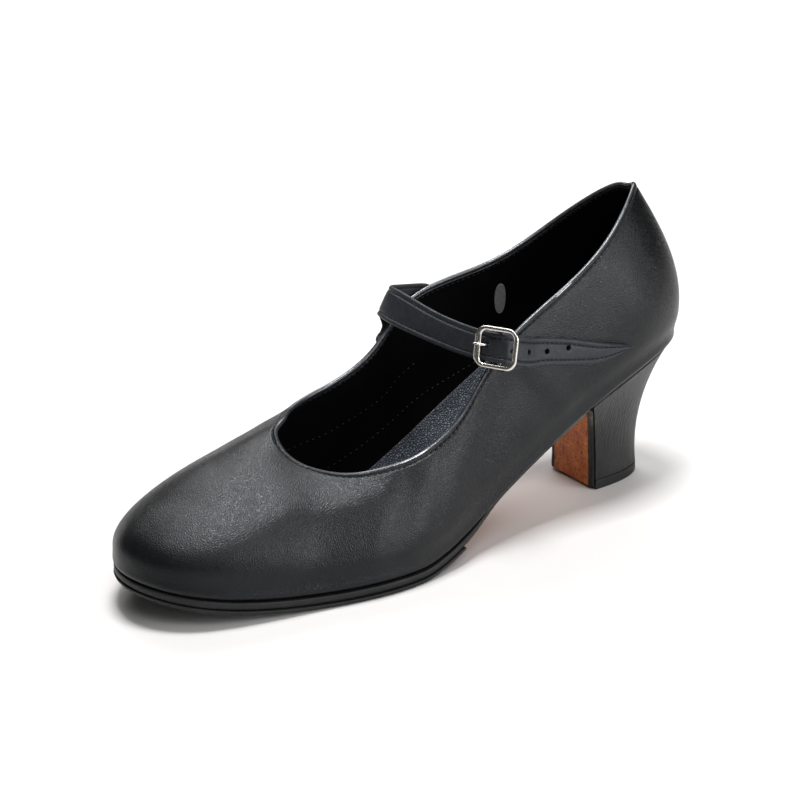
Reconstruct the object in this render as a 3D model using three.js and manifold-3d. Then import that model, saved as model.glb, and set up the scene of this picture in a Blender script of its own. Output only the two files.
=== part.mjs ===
// A left flamenco shoe with a covered heel and one buckled strap, in millimetres.
// +Z is up, the toe points along -Y and the outer side of the foot is +X.
// Places are thought of as f, forward of the heel along the sole, s, towards the outer side, and z.
import * as THREE from "three";
import Module from "manifold-3d";

// The last: sizes of the upper
const lastLength = 240;
const ballWidth = 78.5;
const backHeight = 61;
const instepHeight = 47;
const heelRise = 52;
const toeSpring = 11.5;
const treadBack = 140;
const treadFront = 165;
const wall = 2;

// The bottom: soles and heel
const fitGap = 0.3;
const liftGap = 0.1;
const insoleThickness = 2.5;
const outsoleThickness = 3;
const waistThickness = 2.2;
const soleEdge = 1.3;
const waistTuck = 1;
const waistFront = 118;
const waistFade = 24;
const soleBevel = 0.8;
const halfSoleThickness = 1.8;
const halfSoleBack = 118;
const heelTopLength = 50;
const heelFootLength = 27.5;
const heelFootWidth = 29;
const heelFootBack = 11.9;
const heelFootAside = 1.4;
const heelInset = 0.5;
const liftHeight = 4;
const liftBevel = 0.6;
const flapThickness = 1.1;
const flapFloorGap = 1.2;
const flapMargin = 0.4;

// The strap and its buckle. holeDrifts: how far each hole stands off the strap's middle, prong first.
const strapThickness = 2;
const holePitch = 9.8;
const holeRadius = 1.1;
const holeDrifts = [0.7, -0.4, 0, 0.1, 1.6];
const prongHole = -4.2;
const frameLength = 15;
const frameWidth = 14;
const frameCorner = 3.2;
const frameBarWidth = 1.8;
const frameBarHeight = 1.6;
const restBarWidth = 2.5;
const centreBarRadius = 0.75;
const wireRadius = 0.5;
const tabThickness = 0.8;
const tabWidth = 10;
const tabGap = 0.25;
const slotWidth = 2.2;

// How steeply the seat climbs: the share of a quarter wave that it follows, and its power.
const seatSweep = 0.935;
const seatPower = 1.57;
const seatHeight = halfSoleThickness + outsoleThickness + 2 * fitGap;

// The upper stands on the feather line and ends at the collar. One row for each column of the
// upper, round the shoe from the back of the heel by the outer side to the toe, and back.
// along, across: the feather line, in lastLength and half the ballWidth
// collar along, collar across: the collar above it, in the same shares
// back lift, instep lift: the collar above the seat, in backHeight and instepHeight
// flare, reach: how far the side swings out at its foot and at its top, in half the ballWidth
// rise, drop: how much of its height those swings take
const upperRows = [
  [0.0, 0.0, 0.05, -0.013, 1.035, 0, 0.205, 0.35, 0.25, 0.35],
  [0.021, 0.438, 0.067, 0.194, 1.07, 0, 0.215, 0.34, 0.33, 0.33],
  [0.115, 0.65, 0.154, 0.497, 0.965, 0, 0.15, 0.305, 0.23, 0.34],
  [0.235, 0.688, 0.265, 0.604, 0.912, 0, 0.102, 0.255, 0.102, 0.287],
  [0.377, 0.752, 0.385, 0.652, 0.894, 0, 0.102, 0.257, 0.102, 0.257],
  [0.498, 0.922, 0.481, 0.764, 0, 0.942, 0.102, 0.316, 0.127, 0.27],
  [0.619, 1.05, 0.575, 0.734, 0, 0.844, 0.102, 0.353, 0.204, 0.25],
  [0.74, 0.943, 0.649, 0.561, 0, 0.794, 0.097, 0.375, 0.306, 0.188],
  [0.856, 0.79, 0.692, 0.313, 0, 0.815, 0.076, 0.366, 0.51, 0.183],
  [0.954, 0.535, 0.715, 0.082, 0, 0.89, 0.087, 0.371, 0.764, 0.18],
  [1.0, 0.013, 0.715, -0.14, 0, 1.022, 0.165, 0.375, 0.9, 0.2],
  [0.969, -0.55, 0.688, -0.293, 0, 1.066, 0.225, 0.37, 0.74, 0.27],
  [0.89, -0.848, 0.665, -0.454, 0, 1.062, 0.165, 0.311, 0.49, 0.23],
  [0.767, -0.95, 0.627, -0.586, 0, 1.077, 0.107, 0.306, 0.295, 0.188],
  [0.642, -0.854, 0.564, -0.637, 0, 1.131, 0.102, 0.301, 0.204, 0.226],
  [0.5, -0.599, 0.482, -0.65, 0, 1.226, 0.127, 0.278, 0.102, 0.243],
  [0.375, -0.522, 0.398, -0.726, 1.043, 0, 0.153, 0.251, 0.051, 0.25],
  [0.233, -0.611, 0.263, -0.647, 0.889, 0, 0.127, 0.258, 0.076, 0.295],
  [0.115, -0.624, 0.151, -0.504, 0.897, 0, 0.122, 0.329, 0.153, 0.365],
  [0.022, -0.433, 0.065, -0.219, 1.017, 0, 0.183, 0.355, 0.229, 0.355],
];

const at = (f, s, z) => new THREE.Vector3(s, -f, z);
const halfBall = ballWidth / 2;

// A smooth curve through numbered rows, column by column, open or closed on itself.
function smoothRows(rows, closed) {
  const count = rows.length;
  const near = (list, i) => {
    if (closed) return list[(i + count) % count];
    if (i < 0) return list[0].map((value, k) => 2 * value - list[1][k]);
    if (i >= count) return list[count - 1].map((value, k) => 2 * value - list[count - 2][k]);
    return list[i];
  };
  let controls = rows;
  for (let pass = 0; pass < 40; pass++) {
    const last = controls;
    controls = rows.map((row, i) => {
      if (!closed && (i === 0 || i === count - 1)) return row;
      const before = near(last, i - 1);
      const after = near(last, i + 1);
      return row.map((value, k) => (6 * value - before[k] - after[k]) / 4);
    });
  }
  return (t) => {
    const i = closed ? Math.floor(t) : THREE.MathUtils.clamp(Math.floor(t), 0, count - 2);
    const u = t - i;
    const weights = [
      (1 - u) ** 3 / 6,
      (3 * u ** 3 - 6 * u ** 2 + 4) / 6,
      (-3 * u ** 3 + 3 * u ** 2 + 3 * u + 1) / 6,
      u ** 3 / 6,
    ];
    const four = [-1, 0, 1, 2].map((step) => near(controls, i + step));
    return rows[0].map((_, k) => weights.reduce((sum, weight, n) => sum + weight * four[n][k], 0));
  };
}

// Height of the feather line: flat at the tread, up to the heel and up to the toe.
function seat(f) {
  const quarter = Math.PI / 2;
  const back = THREE.MathUtils.clamp((treadBack - f) / treadBack, 0, 1.2);
  const climb = Math.sin(quarter * seatSweep * back) / Math.sin(quarter * seatSweep);
  const front = Math.max(0, (f - treadFront) / (lastLength - treadFront));
  return seatHeight + heelRise * climb ** seatPower + toeSpring * front ** 2;
}

// One column of the upper at t: feather point, collar point and the two swings between them.
const columnAt = smoothRows(upperRows, true);
function featherAt(t) {
  const row = columnAt(t);
  return at(row[0] * lastLength, row[1] * halfBall, seat(row[0] * lastLength));
}

function outwardAt(t) {
  const step = 0.01;
  const run = featherAt(t + step).sub(featherAt(t - step));
  return new THREE.Vector3(-run.y, run.x, 0).normalize();
}

// Outer face of the upper at column t, from the feather line at w = 0 to the collar at w = 1.
function upperAt(t, w) {
  const row = columnAt(t);
  const foot = featherAt(t);
  const lift = row[4] * backHeight + row[5] * instepHeight;
  const collarF = row[2] * lastLength;
  const collar = at(collarF, row[3] * halfBall, seat(collarF) + lift);
  const out = outwardAt(t);
  const low = foot.clone().addScaledVector(out, row[6] * halfBall);
  low.z += row[7] * lift;
  const high = collar.clone().addScaledVector(out, row[8] * halfBall);
  high.z -= row[9] * lift;
  return new THREE.CubicBezierCurve3(foot, low, high, collar).getPoint(w);
}

function upperNormal(t, w) {
  const step = 0.01;
  const low = Math.max(0, w - step);
  const high = Math.min(1, w + step);
  const up = upperAt(t, high).sub(upperAt(t, low));
  const round = upperAt(t + step, w).sub(upperAt(t - step, w));
  return up.cross(round).normalize();
}

// The point of the upper's outer face at a given f and z, lifted off it, on the side of column t.
function onUpper(t, f, z, lift) {
  const step = 0.02;
  let w = 0.6;
  for (let pass = 0; pass < 12; pass++) {
    const here = upperAt(t, w);
    const round = upperAt(t + step, w).sub(here).divideScalar(step);
    const up = upperAt(t, w + step).sub(here).divideScalar(step);
    const missF = -f - here.y;
    const missZ = z - here.z;
    const area = round.y * up.z - round.z * up.y;
    t += (missF * up.z - missZ * up.y) / area;
    w += (missZ * round.y - missF * round.z) / area;
  }
  return upperAt(t, w).addScaledVector(upperNormal(t, Math.min(w, 1)), lift);
}

// Solids from rings of points: the rings join end to end, or the first and last get a cap.
function ringSolid(rings, ends) {
  const size = rings[0].length;
  const points = rings.flat();
  const faces = [];
  const quad = (a, b, c, d) => faces.push(a, b, c, a, c, d);
  const spans = ends === "joined" ? rings.length : rings.length - 1;
  for (let i = 0; i < spans; i++) {
    const here = i * size;
    const next = ((i + 1) % rings.length) * size;
    for (let k = 0; k < size; k++) {
      const after = (k + 1) % size;
      quad(here + k, here + after, next + after, next + k);
    }
  }
  const end = (rings.length - 1) * size;
  if (ends === "strip") {
    for (let k = 0; k < size / 2 - 1; k++) {
      const far = size - 1 - k;
      quad(k + 1, k, far, far - 1);
      quad(end + k, end + k + 1, end + far - 1, end + far);
    }
  }
  if (ends === "fan") {
    const middle = (ring) => {
      const sum = new THREE.Vector3();
      ring.forEach((point) => sum.add(point));
      return sum.divideScalar(ring.length);
    };
    points.push(middle(rings[0]), middle(rings[rings.length - 1]));
    for (let k = 0; k < size; k++) {
      const after = (k + 1) % size;
      faces.push(after, k, points.length - 2);
      faces.push(end + k, end + after, points.length - 1);
    }
  }
  return closedGeometry(points, faces);
}

// A geometry whose faces point out, whichever way round they were listed.
function closedGeometry(points, faces) {
  let volume = 0;
  for (let i = 0; i < faces.length; i += 3) {
    const [a, b, c] = [points[faces[i]], points[faces[i + 1]], points[faces[i + 2]]];
    volume += a.dot(b.clone().cross(c));
  }
  if (volume < 0) faces.reverse();
  const geometry = new THREE.BufferGeometry().setFromPoints(points);
  geometry.setIndex(faces);
  geometry.computeVertexNormals();
  return geometry;
}

// A sheet with thickness, from a grid of points on its middle: rows along it, columns across.
function sheetSolid(grid, thickness) {
  const rings = grid.map((row, i) => {
    const before = grid[Math.max(0, i - 1)];
    const after = grid[Math.min(grid.length - 1, i + 1)];
    const faces = row.map((point, k) => {
      const along = after[k].clone().sub(before[k]);
      const across = row[Math.min(row.length - 1, k + 1)].clone().sub(row[Math.max(0, k - 1)]);
      return along.cross(across).normalize().multiplyScalar(thickness / 2);
    });
    const one = row.map((point, k) => point.clone().add(faces[k]));
    const other = row.map((point, k) => point.clone().sub(faces[k]));
    return [...one, ...other.reverse()];
  });
  return ringSolid(rings, "strip");
}

const steps = (count, from, to) =>
  Array.from({ length: count + 1 }, (_, i) => THREE.MathUtils.lerp(from, to, i / count));

// The upper: one hollow wall from the feather line to the collar.
function makeUpper() {
  const columns = 104;
  const outerRows = 12;
  const innerRows = 8;
  const rings = [];
  for (let i = 0; i < columns; i++) {
    const t = (i * upperRows.length) / columns;
    const outer = steps(outerRows, 0, 1).map((w) => upperAt(t, w));
    const inner = steps(innerRows, 1, 0).map((w) =>
      upperAt(t, w).addScaledVector(upperNormal(t, w), -wall),
    );
    rings.push([...outer, ...inner]);
  }
  return ringSolid(rings, "joined");
}

// The feather line seen from above, moved outwards by a margin that may change along the foot.
function plan(margin) {
  const count = 720;
  const loop = [];
  for (let i = 0; i < count; i++) {
    const t = (i * upperRows.length) / count;
    const foot = featherAt(t);
    loop.push(foot.addScaledVector(outwardAt(t), margin(-foot.y)));
  }
  const sides = (f) => {
    const hits = [];
    loop.forEach((here, i) => {
      const next = loop[(i + 1) % count];
      const share = (-f - here.y) / (next.y - here.y);
      if (share >= 0 && share < 1) hits.push(THREE.MathUtils.lerp(here.x, next.x, share));
    });
    return { inner: Math.min(...hits), outer: Math.max(...hits) };
  };
  const reach = loop.map((point) => -point.y);
  return { loop, sides, back: Math.min(...reach), front: Math.max(...reach) };
}

// A flat layer under or in the upper: an outline between two heights that follow the seat.
function layerSolid(outline, stations, top, bottom, bevel) {
  const rings = stations.map((f) => {
    const { inner, outer } = outline.sides(f);
    const tuck = Math.min(bevel, (outer - inner) / 4);
    return [
      at(f, inner, top(f)),
      at(f, outer, top(f)),
      at(f, outer - tuck, bottom(f)),
      at(f, inner + tuck, bottom(f)),
    ];
  });
  return ringSolid(rings, "strip");
}

// Stations along a layer: shared ones, so that all layers stay parallel, and closer ones at each
// end where its outline is rounded. Those stand at these shares of lastLength from the end.
const endShares = [0.0002, 0.0025, 0.006, 0.0115, 0.019, 0.029, 0.042];
function layerStations(back, front, roundedBack) {
  const pitch = lastLength / 50;
  const reach = endShares[endShares.length - 1] * lastLength + pitch / 2;
  const frontEnd = endShares.map((share) => front - share * lastLength);
  const backEnd = roundedBack ? endShares.map((share) => back + share * lastLength) : [back];
  const backReach = roundedBack ? reach : pitch / 2;
  const shared = steps(50, 0, lastLength).filter((f) => f > back + backReach && f < front - reach);
  return [...backEnd, ...shared, ...frontEnd.reverse()];
}

function makeInsole() {
  const outline = plan(() => -wall - fitGap);
  const stations = layerStations(outline.back, outline.front, true);
  return layerSolid(outline, stations, (f) => seat(f) + insoleThickness, seat, 0);
}

// The outsole is thick under the tread, thin and tucked in at the waist, and runs down the heel.
const waistShare = (f) => 1 - THREE.MathUtils.smoothstep(f, waistFront - waistFade, waistFront);
const soleThicknessAt = (f) => THREE.MathUtils.lerp(outsoleThickness, waistThickness, waistShare(f));
const soleMargin = (f) => THREE.MathUtils.lerp(soleEdge, -waistTuck, waistShare(f));
const soleOutline = plan(soleMargin);
const soleTop = (f) => seat(f) - fitGap;
const soleBottom = (f) => soleTop(f) - soleThicknessAt(f);

// Heel outlines: a rounded foot on the floor and the end of the feather line at the seat.
const heelOutline = plan(() => -heelInset);
const heelFootFront = heelFootBack + heelFootLength;
const heelSides = heelOutline.sides(heelTopLength);
const heelFootInner = -heelFootWidth / 2 - heelFootAside;
const heelFootOuter = heelFootWidth / 2 - heelFootAside;
const heelFootSquareness = 2.5;
const heelCurve = 2.4;
const heelSwell = 0.28;

// How far the heel has opened from its foot to its top, at a share of its height.
const heelShare = (v) => v ** heelCurve - heelSwell * v * (1 - v) ** 3;

// Evenly spaced points along a line of points.
function evenly(line, count) {
  const path = new THREE.CurvePath();
  for (let i = 0; i < line.length - 1; i++) {
    if (line[i].distanceTo(line[i + 1]) > 1e-6) path.add(new THREE.LineCurve3(line[i], line[i + 1]));
  }
  return steps(count, 0, 1).map((share) => path.getPointAt(share));
}

// Both outlines run from the inner front corner round the back to the outer one, then across.
const heelArcSteps = 34;
const heelFrontSteps = 5;
function heelRing(arc) {
  const front = steps(heelFrontSteps, 0, 1).map((share) => arc[heelArcSteps].clone().lerp(arc[0], share));
  return [...arc, ...front.slice(1, -1)];
}

function heelFoot(inset) {
  const power = 2 / heelFootSquareness;
  const line = steps(60, -Math.PI / 2, Math.PI / 2).map((angle) => {
    const side = Math.sign(Math.sin(angle)) * Math.abs(Math.sin(angle)) ** power;
    const depth = Math.max(0, Math.cos(angle)) ** power;
    return at(
      heelFootFront - inset - (heelFootLength - 2 * inset) * depth,
      (heelFootWidth / 2 - inset) * side - heelFootAside,
      0,
    );
  });
  return heelRing(evenly(line, heelArcSteps));
}

function heelTop() {
  const half = heelOutline.loop.length / 2;
  const around = [...heelOutline.loop.slice(half), ...heelOutline.loop.slice(0, half)];
  const line = [
    at(heelTopLength, heelSides.inner, 0),
    ...around.filter((point) => -point.y < heelTopLength).map((point) => at(-point.y, point.x, 0)),
    at(heelTopLength, heelSides.outer, 0),
  ];
  const ring = heelRing(evenly(line, heelArcSteps));
  return ring.map((point) => at(-point.y, point.x, seat(-point.y) - fitGap));
}

const heelBase = liftHeight + liftGap;
function makeHeel() {
  const foot = heelFoot(0);
  const top = heelTop();
  const rings = steps(14, 0, 1).map((v) =>
    foot.map((point, k) => {
      const place = point.clone().lerp(top[k], heelShare(v));
      place.z = THREE.MathUtils.lerp(heelBase, top[k].z, v);
      return place;
    }),
  );
  return ringSolid(rings, "fan");
}

function makeTopLift() {
  const level = (inset, z) => heelFoot(inset).map((point) => point.setZ(z));
  return ringSolid([level(liftBevel, 0), level(0, liftBevel), level(0, liftHeight)], "fan");
}

// The middle of the outsole, from the toe to the heel, round a fold and down the heel's front.
function makeOutsole() {
  const foldReach = 5.5;
  const flapTop = 0.9;
  const foldStart = heelTopLength + foldReach;
  const topZ = seat(heelTopLength) - fitGap;
  const middle = (f) => [f, (soleTop(f) + soleBottom(f)) / 2];
  const onHeel = (v) =>
    new THREE.Vector2(
      THREE.MathUtils.lerp(heelFootFront, heelTopLength, heelShare(v)),
      THREE.MathUtils.lerp(heelBase, topZ, v),
    );
  const heelFront = (v) => {
    const run = onHeel(v + 0.01).sub(onHeel(v)).normalize();
    const off = fitGap + flapThickness / 2;
    return [onHeel(v).x + run.y * off, onHeel(v).y - run.x * off];
  };
  const flapSides = (v) => ({
    inner: THREE.MathUtils.lerp(heelFootInner, heelSides.inner, heelShare(v)) + flapMargin,
    outer: THREE.MathUtils.lerp(heelFootOuter, heelSides.outer, heelShare(v)) - flapMargin,
  });
  const flat = layerStations(foldStart, soleOutline.front, false)
    .slice(1)
    .reverse()
    .map((f) => ({
      place: middle(f),
      sides: soleOutline.sides(f),
      thickness: soleThicknessAt(f),
      level: true,
    }));
  const corner = [heelTopLength + fitGap + flapThickness / 2, middle(heelTopLength)[1]];
  const [start, end] = [middle(foldStart), heelFront(flapTop)];
  const startSides = soleOutline.sides(foldStart);
  const [nextF, nextZ] = middle(foldStart + 1);
  const startRun = new THREE.Vector2(nextF - start[0], nextZ - start[1]).normalize();
  const startThickness = waistThickness * startRun.x;
  const fold = steps(6, 0, 1).map((u) => {
    const bend = (k) => (1 - u) ** 2 * start[k] + 2 * u * (1 - u) * corner[k] + u ** 2 * end[k];
    const endSides = flapSides(flapTop);
    return {
      place: [bend(0), bend(1)],
      sides: {
        inner: THREE.MathUtils.lerp(startSides.inner, endSides.inner, u),
        outer: THREE.MathUtils.lerp(startSides.outer, endSides.outer, u),
      },
      thickness: THREE.MathUtils.lerp(startThickness, flapThickness, u),
    };
  });
  const flapFoot = (flapFloorGap - heelBase) / (topZ - heelBase);
  const flap = steps(10, flapTop, flapFoot)
    .slice(1)
    .map((v) => {
      const held = Math.max(0, v);
      const [f, z] = heelFront(held);
      const down = THREE.MathUtils.lerp(heelBase, topZ, Math.min(0, v)) - heelBase;
      return { place: [f, z + down], sides: flapSides(held), thickness: flapThickness };
    });
  const stations = [...flat, ...fold, ...flap];
  const rings = stations.map(({ place, sides, thickness, level }, i) => {
    const before = stations[Math.max(0, i - 1)].place;
    const after = stations[Math.min(stations.length - 1, i + 1)].place;
    const run = new THREE.Vector2(after[0] - before[0], after[1] - before[1]).normalize();
    const depth = (level ? thickness * Math.abs(run.x) : thickness) / 2;
    const [acrossF, acrossZ] = [-run.y * depth, run.x * depth];
    const tuck = Math.min(soleBevel, (sides.outer - sides.inner) / 4);
    const upper = (s) => at(place[0] - acrossF, s, place[1] - acrossZ);
    const lower = (s) => at(place[0] + acrossF, s, place[1] + acrossZ);
    return [
      upper(sides.inner),
      upper(sides.outer),
      lower(sides.outer - tuck),
      lower(sides.inner + tuck),
    ];
  });
  return ringSolid(rings, "strip");
}

function makeHalfSole() {
  const stations = layerStations(halfSoleBack, soleOutline.front, false);
  const top = (f) => soleBottom(f) - fitGap;
  return layerSolid(soleOutline, stations, top, (f) => top(f) - halfSoleThickness, soleBevel);
}

// The strap, as rows across it from its rear edge to its front edge, on the middle of its leather.
// It starts wide on the inner quarter, narrows into a tab, folds over and crosses the instep.
// In its rows f is a share of lastLength, s one of half the ballWidth, and z a height above the
// seat in shares of sideHeight. innerSide and outerSide are columns of the upper.
const innerSide = 15.6;
const outerSide = 3.6;
const strapColumns = 5;
const half = strapThickness / 2;
const sideHeight = (backHeight + instepHeight) / 2;
const heightAt = (f, z) => seat(f * lastLength) + z * sideHeight;
const seatedRow = (side, [rearF, rearZ, frontF, frontZ, lift]) =>
  steps(strapColumns - 1, 0, 1).map((share) =>
    onUpper(
      side,
      THREE.MathUtils.lerp(rearF, frontF, share) * lastLength,
      THREE.MathUtils.lerp(heightAt(rearF, rearZ), heightAt(frontF, frontZ), share),
      lift + half,
    ),
  );
const freePoint = (f, s, z) => at(f * lastLength, s * halfBall, heightAt(f, z));
const freeRow = ([rearF, rearS, rearZ, frontF, frontS, frontZ]) =>
  steps(strapColumns - 1, 0, 1).map((share) =>
    freePoint(rearF, rearS, rearZ).lerp(freePoint(frontF, frontS, frontZ), share),
  );

// Stitched to the inner quarter: rear f, rear z, front f, front z, lift off the quarter in mm.
const baseRows = [
  [0.3479, 0.9664, 0.4542, 0.8789, 0.4],
  [0.3567, 1.0548, 0.4625, 0.9685, 0.4],
  [0.365, 1.1311, 0.4692, 1.0399, 0.5],
];

// Free over the instep: rear f, s, z and front f, s, z. The seventh row is at the buckle.
const freeRows = [
  [0.4, -0.775, 1.2458, 0.4558, -0.749, 1.0857],
  [0.4296, -0.785, 1.323, 0.4542, -0.825, 1.1566],
  [0.4367, -0.583, 1.3466, 0.4637, -0.614, 1.1912],
  [0.4317, -0.25, 1.3031, 0.46, -0.26, 1.1694],
  [0.4212, 0.025, 1.241, 0.4479, 0.025, 1.1169],
  [0.4133, 0.285, 1.2096, 0.4367, 0.301, 1.0762],
  [0.4092, 0.52, 1.2063, 0.4275, 0.55, 1.0558],
  [0.3992, 0.754, 1.194, 0.4092, 0.79, 1.0155],
  [0.3829, 0.813, 1.1435, 0.3946, 0.848, 0.9674],
  [0.3642, 0.795, 1.0663, 0.3738, 0.836, 0.886],
];

// The tail on the outer quarter, in the columns of baseRows.
const tailRows = [
  [0.3342, 0.9312, 0.3408, 0.7483, 1.5],
  [0.3033, 0.8291, 0.3092, 0.6554, 0.9],
  [0.2721, 0.7251, 0.2771, 0.5511, 0.5],
  [0.2408, 0.6142, 0.2442, 0.451, 0.4],
  [0.2092, 0.5042, 0.2117, 0.3648, 0.4],
  [0.1783, 0.4025, 0.1792, 0.3225, 0.4],
  [0.1475, 0.3081, 0.1467, 0.2901, 0.4],
];
const strapRows = [
  ...baseRows.map((row) => seatedRow(innerSide, row)),
  ...freeRows.map(freeRow),
  ...tailRows.map((row) => seatedRow(outerSide, row)),
];
const strapRowAt = smoothRows(
  strapRows.map((row) => row.flatMap((point) => point.toArray())),
  false,
);
const strapRow = (u) => {
  const numbers = strapRowAt(u);
  return steps(strapColumns - 1, 0, strapColumns - 1).map((k) =>
    new THREE.Vector3().fromArray(numbers, 3 * Math.round(k)),
  );
};

// A frame on the strap at u: along it towards the tail, across it to its rear edge, and outwards.
function strapFrame(u) {
  const step = 0.05;
  const row = strapRow(u);
  const middleColumn = (strapColumns - 1) / 2;
  const along = strapRow(u + step)[middleColumn].sub(strapRow(u - step)[middleColumn]).normalize();
  const across = row[0].clone().sub(row[strapColumns - 1]);
  const out = along.clone().cross(across).normalize();
  across.crossVectors(out, along);
  return { place: row[middleColumn], along, across, out };
}

// Where along the strap a distance from the buckle's middle lies.
const freeRowsToBuckle = 7;
const buckleAt = baseRows.length + freeRowsToBuckle;
function strapAtDistance(distance) {
  const step = 0.01 * Math.sign(distance);
  let u = buckleAt;
  for (let run = 0; run < Math.abs(distance); u += step) {
    run += strapFrame(u + step).place.distanceTo(strapFrame(u).place);
  }
  return u;
}

const frameMatrix = ({ place, along, across, out }) =>
  new THREE.Matrix4().makeBasis(along, across, out).setPosition(place);

const wasm = await Module();
wasm.setup();

function solidOf(geometry) {
  const vertProperties = new Float32Array(geometry.getAttribute("position").array);
  const triVerts = new Uint32Array(geometry.index.array);
  const mesh = new wasm.Mesh({ numProp: 3, vertProperties, triVerts });
  mesh.merge();
  return new wasm.Manifold(mesh);
}

function geometryOf(solid) {
  const { vertProperties, triVerts } = solid.getMesh();
  const geometry = new THREE.BufferGeometry();
  geometry.setAttribute("position", new THREE.BufferAttribute(vertProperties, 3));
  geometry.setIndex(new THREE.BufferAttribute(triVerts, 1));
  geometry.computeVertexNormals();
  return geometry;
}

function makeStrap() {
  const grid = steps(76, 0, strapRows.length - 1).map(strapRow);
  let solid = solidOf(sheetSolid(grid, strapThickness));
  holeDrifts.forEach((drift, k) => {
    const frame = strapFrame(strapAtDistance(prongHole + k * holePitch));
    const punch = new THREE.CylinderGeometry(holeRadius, holeRadius, 3 * strapThickness, 12);
    punch.rotateX(Math.PI / 2).translate(0, drift, 0).applyMatrix4(frameMatrix(frame));
    solid = solid.subtract(solidOf(punch));
  });
  return geometryOf(solid);
}

// The buckle is modelled flat, with x towards the tail and z outwards, and placed on the strap.
const buckleFrame = strapFrame(buckleAt);
const frameHalf = frameLength / 2;
const heightOverBuckle = (x) =>
  strapRow(strapAtDistance(x)).map((point) => point.sub(buckleFrame.place).dot(buckleFrame.out));
const barEdges = [-1.15, -1, -0.85, 0.85, 1, 1.15].map((share) => share * frameHalf);
const strapAtBars = Math.max(...barEdges.flatMap(heightOverBuckle));
const frameBottom = strapAtBars + half + fitGap;
const frameMiddle = frameBottom + frameBarHeight / 2;
const centreBarZ = -half - 2 * tabGap - tabThickness - centreBarRadius;

function makeBuckleFrame() {
  const [x, y, r] = [frameHalf, frameWidth / 2, frameCorner];
  const path = [];
  const corners = [
    [x - r, y - r, 0],
    [r - x, y - r, 1],
    [r - x, r - y, 2],
    [x - r, r - y, 3],
  ];
  corners.forEach(([cx, cy, turn]) => {
    steps(6, turn, turn + 1).forEach((quarter) => {
      const angle = (quarter * Math.PI) / 2;
      path.push({ cx: cx + r * Math.cos(angle), cy: cy + r * Math.sin(angle), angle });
    });
  });
  const rings = path.map(({ cx, cy, angle }) => {
    const rest = Math.max(0, -Math.cos(angle)) ** 2;
    const width = THREE.MathUtils.lerp(frameBarWidth, restBarWidth, rest) / 2;
    return steps(11, 0, (2 * Math.PI * 11) / 12).map((round) => {
      const side = width * Math.cos(round);
      const height = (frameBarHeight / 2) * Math.sin(round);
      return new THREE.Vector3(
        cx + side * Math.cos(angle),
        cy + side * Math.sin(angle),
        frameMiddle + height,
      );
    });
  });
  let solid = solidOf(ringSolid(rings, "joined"));
  const bar = new THREE.CylinderGeometry(centreBarRadius, centreBarRadius, frameWidth, 14);
  solid = solid.add(solidOf(bar.translate(0, 0, centreBarZ)));
  const postHeight = frameMiddle - centreBarZ + centreBarRadius;
  [-1, 1].forEach((side) => {
    const post = new THREE.CylinderGeometry(centreBarRadius, centreBarRadius, postHeight, 14);
    post.rotateX(Math.PI / 2);
    post.translate(0, (side * frameWidth) / 2, centreBarZ - centreBarRadius + postHeight / 2);
    solid = solid.add(solidOf(post));
  });
  return geometryOf(solid);
}

// The prong: a ring round the centre bar and a wire up through the strap's hole onto the frame.
function makeProng() {
  const gap = 0.15;
  const ringRadius = centreBarRadius + gap + wireRadius;
  const top = frameBottom + frameBarHeight + gap + wireRadius;
  const tip = -frameHalf - restBarWidth / 2 - gap;
  const under = (prongHole - ringRadius) / 2;
  const bend = 1.1;
  const route = new THREE.CatmullRomCurve3(
    [
      [-ringRadius, 0, centreBarZ],
      [under, holeDrifts[0] / 2, centreBarZ + gap],
      [prongHole + gap, holeDrifts[0], -half - bend],
      [prongHole, holeDrifts[0], 0],
      [prongHole - bend / 2, holeDrifts[0], top - bend],
      [prongHole - 2 * bend, holeDrifts[0], top],
      [tip, holeDrifts[0], top],
    ].map((place) => new THREE.Vector3(...place)),
  );
  const sides = 10;
  const rings = steps(18, 0, 1).map((share) => {
    const place = route.getPoint(share);
    const run = route.getTangent(share);
    const out = new THREE.Vector3(-run.z, 0, run.x).normalize();
    const side = run.clone().cross(out);
    return steps(sides - 1, 0, (2 * Math.PI * (sides - 1)) / sides).map((angle) =>
      place
        .clone()
        .addScaledVector(out, wireRadius * Math.cos(angle))
        .addScaledVector(side, wireRadius * Math.sin(angle)),
    );
  });
  const ring = new THREE.TorusGeometry(ringRadius, wireRadius, 10, 20);
  ring.rotateX(Math.PI / 2).translate(0, 0, centreBarZ);
  return geometryOf(solidOf(ringSolid(rings, "fan")).add(solidOf(ring)));
}

// The tab: curled round the centre bar, then down onto the outer quarter under the tail.
// Its rows on the quarter have the columns of baseRows.
const tabRows = [
  [0.3646, 1.0043, 0.3917, 0.8647, 0.35],
  [0.3479, 0.9553, 0.3625, 0.7996, 0.35],
  [0.3354, 0.9081, 0.3438, 0.7606, 0.35],
];
function makeTab() {
  const radius = centreBarRadius + tabGap + tabThickness / 2;
  const local = frameMatrix(buckleFrame);
  const curl = steps(9, 0.4, 1.6).map((turn) => {
    const angle = turn * Math.PI;
    return steps(strapColumns - 1, tabWidth / 2, -tabWidth / 2).map((y) =>
      new THREE.Vector3(radius * Math.cos(angle), y, centreBarZ + radius * Math.sin(angle)).applyMatrix4(local),
    );
  });
  const seated = tabRows.map(([rearF, rearZ, frontF, frontZ, lift]) =>
    seatedRow(outerSide, [rearF, rearZ, frontF, frontZ, lift + tabThickness / 2 - half]),
  );
  const sheet = solidOf(sheetSolid([...curl, ...seated], tabThickness));
  const reach = radius + tabThickness;
  const slot = new THREE.BoxGeometry(2 * reach + 2, slotWidth, 2 * reach + 1);
  slot.translate(-reach, 0, centreBarZ).applyMatrix4(local);
  return geometryOf(sheet.subtract(solidOf(slot)));
}

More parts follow.
